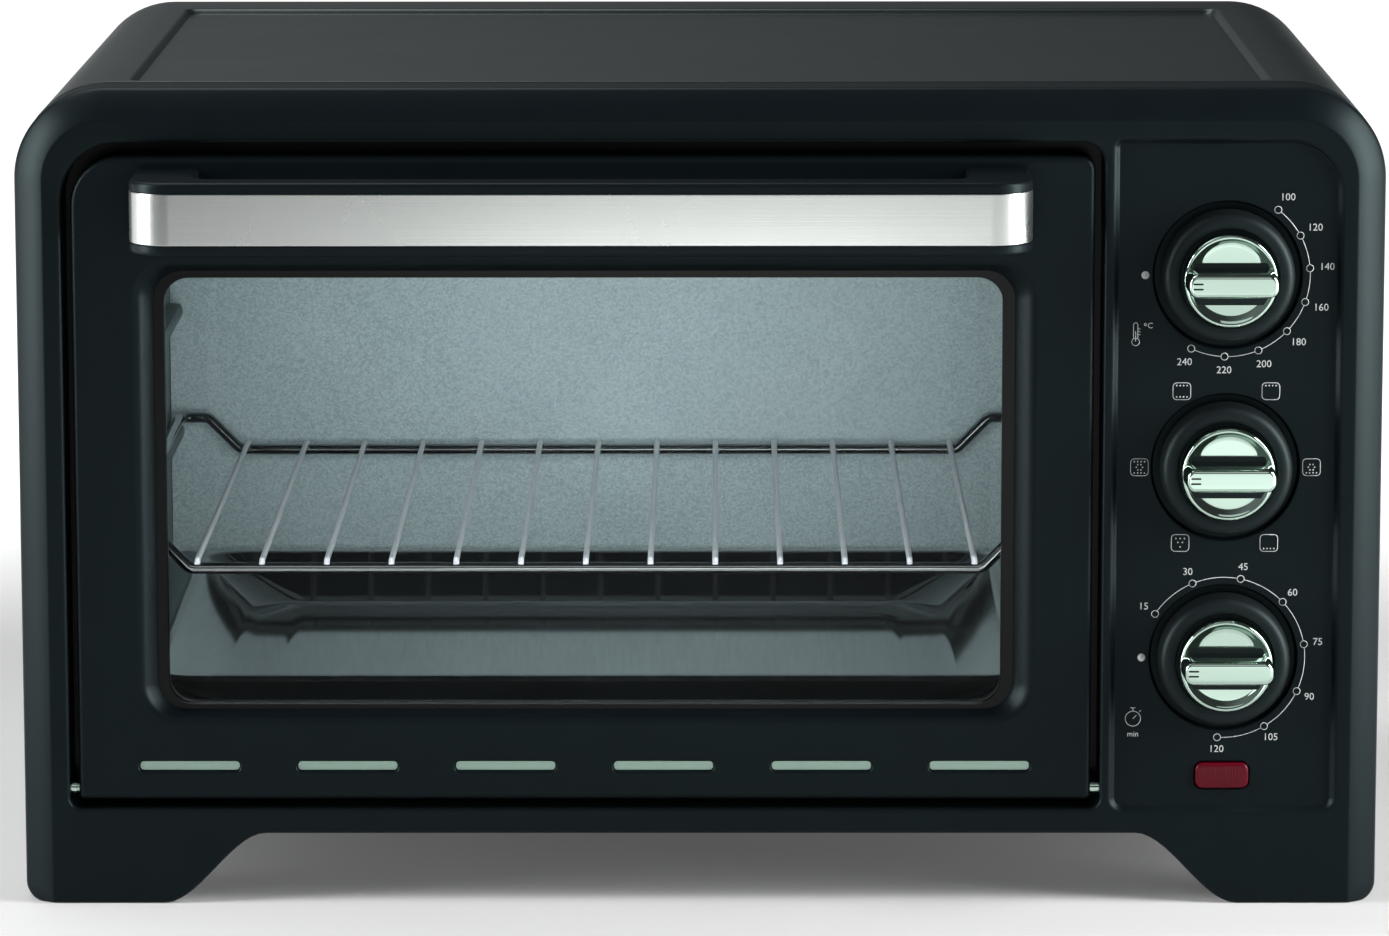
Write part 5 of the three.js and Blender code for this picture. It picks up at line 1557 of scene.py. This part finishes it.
# %% [markdown]
# ## The baking tray
# The tray is pressed from one sheet: a rolled rim, sloping sides with soft corners and a flat floor
# with a raised field in the middle. It is a loft of rounded rectangles seen from above, with the
# inside and the outside a sheet's thickness apart.

# %% Baking tray
def tray_outline(tray, by, corner, level):
    """Rounded outline in plan at one level, with the depth where a front view has its height."""
    area = Area(tray.x0 + by, tray.x1 - by, tray.d0 + by, tray.d1 - by)
    return [(x, depth, level) for x, depth in rounded(area, (corner,) * 4, 10)]


def baking_tray():
    tray = place("baking_tray")
    top, floor = tray.z1, tray.z0 + SHEET
    inside = [(0.9, 15.6, top - 0.9), (1.4, 15.4, top - 0.3), (2.2, 15.0, top), (4.2, 14.2, top - 0.1),
              (5.2, 13.6, top - 0.7), (6.2, 13.2, top - 2.2), (12, 15, top - 8.5), (20.5, 20, floor + 3.2),
              (22.5, 21, floor + 1.2), (25, 22, floor + 0.25), (28, 22, floor), (40, 20, floor),
              (42, 20, floor + 0.35), (45, 20, floor + 0.9)]
    outside = []
    for by, corner, z in inside:
        out, down = (0.9, 0.7 * SHEET) if z > top - 1 else (0.4, SHEET)
        outside.append((max(0, by - out), corner, max(z - down, tray.z0)))
    shell = Shell()
    inner = shell.loft([tray_outline(tray, *step) for step in inside])
    outer = shell.loft([tray_outline(tray, *step) for step in outside])
    shell.skin(inner[0], outer[0])
    shell.lid(inner[-1])
    shell.lid(outer[-1])
    piece("tray", shell.bm, enamel, "tray", ["baking_tray"], crease=40)


baking_tray()

# %% [markdown]
# ## Door springs
# A coil spring pulls on each stop arm. The coil is a helix of points swept by the *bent rod* tree.

# %% Springs
def door_spring(side):
    node = f"door_spring_{side}"
    spring = place(node)
    wire = 0.6
    radius = (spring.z1 - spring.z0) / 2 - wire
    middle_x, middle_z = (spring.x0 + spring.x1) / 2, (spring.z0 + spring.z1) / 2
    turns, around = 22, 16
    points = []
    for i in range(turns * around + 1):
        turn = 2 * math.pi * i / around
        depth = spring.d0 + wire + (spring.d1 - spring.d0 - 2 * wire) * i / (turns * around)
        points.append((middle_x + radius * math.cos(turn), depth, middle_z + radius * math.sin(turn)))
    mesh = bent_rod([points], wire, sheet_steel, bend=0.1, sides=8, steps=1)
    finished(linked(f"spring_{side}", mesh), frame["nodes"][node]["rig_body"], [node])


door_spring("left")
door_spring("right")

# %% [markdown]
# ## The rear panel
# The back is a painted sheet with slots that let the heat of the switches and the room above the
# liner out. The slots are real openings: each field is a grid of rounded holes in the lid, so the
# edges are clean. A pressed border stiffens the sheet.

# %% Rear panel
def slot_grid(x0, z0, columns, rows_up, pitch, rise, length=22, height=3.2):
    """Outlines of the slots in one field, column by column, from the lower left one on."""
    slots = []
    for column in range(columns):
        for row in range(rows_up):
            x, z = x0 + column * pitch, z0 + row * rise
            slots.append(Area(x - length / 2, x + length / 2, z - height / 2, z + height / 2))
    return slots


REAR = place("rear_panel")
REAR_SLOTS = [*slot_grid(-150, 238, 9, 4, 30, 8), *slot_grid(172, 176, 2, 7, 30, 9),
              *slot_grid(-196, 70, 2, 5, 30, 9)]


def rear_panel():
    shell = Shell()
    area = area_of("rear_panel")
    corners = (0.4, 0.4, 29, 29)
    gland = place("cord_gland")
    hole_z = (gland.z0 + gland.z1) / 2
    level = REAR.d1 - 1.0
    border = [(0, REAR.d1), (-9, REAR.d1), (-10, REAR.d1 - 0.1), (-12.5, level + 0.1), (-13.5, level)]
    back = shell.loft(stack(area, corners, border))
    front = shell.loft(stack(area, corners, [(by, depth - SHEET) for by, depth in border]))
    shell.skin(back[0], front[0])
    holes = [[], []]
    for slot in REAR_SLOTS:
        rings = shell.loft([flat(rounded(slot, (1.5,) * 4, 3), d) for d in (level, level - SHEET)])
        holes[0].append(rings[0])
        holes[1].append(rings[1])
    round_hole = shell.loft([flat(circle(PANEL_X, hole_z, 7.3, 32), d) for d in (level, level - SHEET)])
    shell.lid(back[-1], round_hole[0], *holes[0])
    shell.lid(front[-1], round_hole[1], *holes[1])
    piece("rear_sheet", shell.bm, paint, "chassis", ["rear_panel"], crease=35)


rear_panel()

# %% [markdown]
# ## Screws
# Pan-head screws hold the rear panel and the bottom plate. The head is a small turned dome with a
# round dimple for the driver, and the *rows of copies* tree sets it along each edge with a random
# turn, as screws stand when they have been driven home.

# %% Screws
def screw_head(radius=3.4, height=1.7, axis="Y"):
    """A pan head about the origin that looks along +Y, or down along -Z."""
    bm = bmesh.new()
    sign = 1 if axis == "Y" else -1
    dome = [(0, -1.0), (radius * 0.55, -1.0), (radius * 0.55, 0), (radius, 0), (radius, height * 0.4),
            (radius * 0.9, height * 0.72), (radius * 0.7, height * 0.93), (radius * 0.5, height),
            (radius * 0.42, height * 0.55), (0, height * 0.45)]
    lathe(bm, [(r, sign * h) for r, h in dome], (0, 0, 0), axis, 20)
    return bm


def screws(name, lines, axis, turn):
    meshes = [rows(screw_head(axis=axis), sheet_steel, first, step, count, turn=turn, seed=index)
              for index, (first, step, count) in enumerate(lines)]
    finished(linked(name, joined_mesh(name, meshes)), "chassis")


rear_face = REAR.d1 + 0.02
screws("rear_screws", [
    ((-205, rear_face, REAR.z1 - 5), (136.6, 0, 0), 4),
    ((REAR.x0 + 5, rear_face, 60), (0, 0, 85), 3),
    ((REAR.x1 - 5, rear_face, 60), (0, 0, 85), 3),
    ((-205, rear_face, REAR.z0 + 5), (136.6, 0, 0), 4),
], "Y", (0, math.pi, 0))

# %% [markdown]
# ## The bottom
# The bottom plate has rows of slots where cool air enters. Two rubber feet stand at the back, and
# the bezel's own feet carry the front.

# %% Base plate
BASE = place("base_plate")


def base_sheet():
    shell = Shell()
    plan = Area(BASE.x0, BASE.x1, BASE.d0, BASE.d1)

    def level(outline, z):
        return [(x, depth, z) for x, depth in outline]

    rings = shell.loft([level(rounded(plan, (1,) * 4, 3), z) for z in (BASE.z0, BASE.z1)])
    slots = slot_grid(-160, 90, 9, 5, 40, 32, length=26, height=4)
    holes = [shell.loft([level(rounded(slot, (1.9,) * 4, 3), z) for z in (BASE.z0, BASE.z1)])
             for slot in slots]
    shell.lid(rings[0], *[hole[0] for hole in holes])
    shell.lid(rings[1], *[hole[1] for hole in holes])
    piece("base_sheet", shell.bm, sheet_steel, "chassis", ["base_plate"], crease=35)


def rear_foot(side):
    node = f"rear_foot_{side}"
    foot = place(node)
    centre = ((foot.x0 + foot.x1) / 2, (foot.d0 + foot.d1) / 2, 0)
    radius = 12.0
    profile = [(0, 0.9), (radius - 4, 0.9), (radius - 3.4, 0), (radius - 1.6, 0), (radius - 0.5, 0.5),
               (radius, 1.8), (radius + 0.9, 12), (radius + 0.5, 12.6), (radius + 0.5, 13.4),
               (radius + 1.1, 14), (radius + 2, foot.z1 - 0.5), (radius + 1.6, foot.z1), (0, foot.z1)]
    turned(f"foot_{side}", profile, centre, "Z", 64, rubber, "chassis", node, crease=40)


base_sheet()
rear_foot("left")
rear_foot("right")
base_face = BASE.z0 - 0.02
screws("base_screws", [
    ((-228, 60, base_face), (0, 75, 0), 4),
    ((228, 60, base_face), (0, 75, 0), 4),
], "Z", (0, 0, math.pi))

# %% [markdown]
# ## The cord gland
# The mains lead enters through a moulded rubber bush. No lead is made here, only its entry: a flange
# with a rounded rim, a bore and a short collar.

# %% Gland
def cord_gland():
    gland = place("cord_gland")
    radius = (gland.x1 - gland.x0) / 2
    centre = ((gland.x0 + gland.x1) / 2, 0, (gland.z0 + gland.z1) / 2)
    neck = 7.0
    bore = 3.6
    rear = gland.d1
    seat = REAR.d1 + 0.3
    profile = [(bore, gland.d0), (neck - 0.8, gland.d0), (neck, gland.d0 + 0.8), (neck, seat),
               (radius, seat), (radius, rear - 0.9), (radius - 0.6, rear - 0.3), (radius - 1.6, rear - 0.1),
               (bore + 2.2, rear), (bore + 0.5, rear - 0.3), (bore, rear - 1.0), (bore, gland.d0)]
    turned("gland", profile, centre, "Y", 48, rubber, "chassis", "cord_gland", crease=40)


cord_gland()

# %% [markdown]
# ## Light in the oven
# The liner is lit through the glass. One wide lamp just inside the mouth, which the camera doesn't
# see, throws an even light on the back wall and leaves the side walls darker, and the darker steel of
# those walls adds painted shade to them.

# %% Oven lamp
softbox("oven_lamp", (-0.035, FRONT + 0.022, 0.152), (0.32, 0.20), 0.31,
        target=(-0.035, FRONT + 0.30, 0.118), spread=78, mirrored=False)
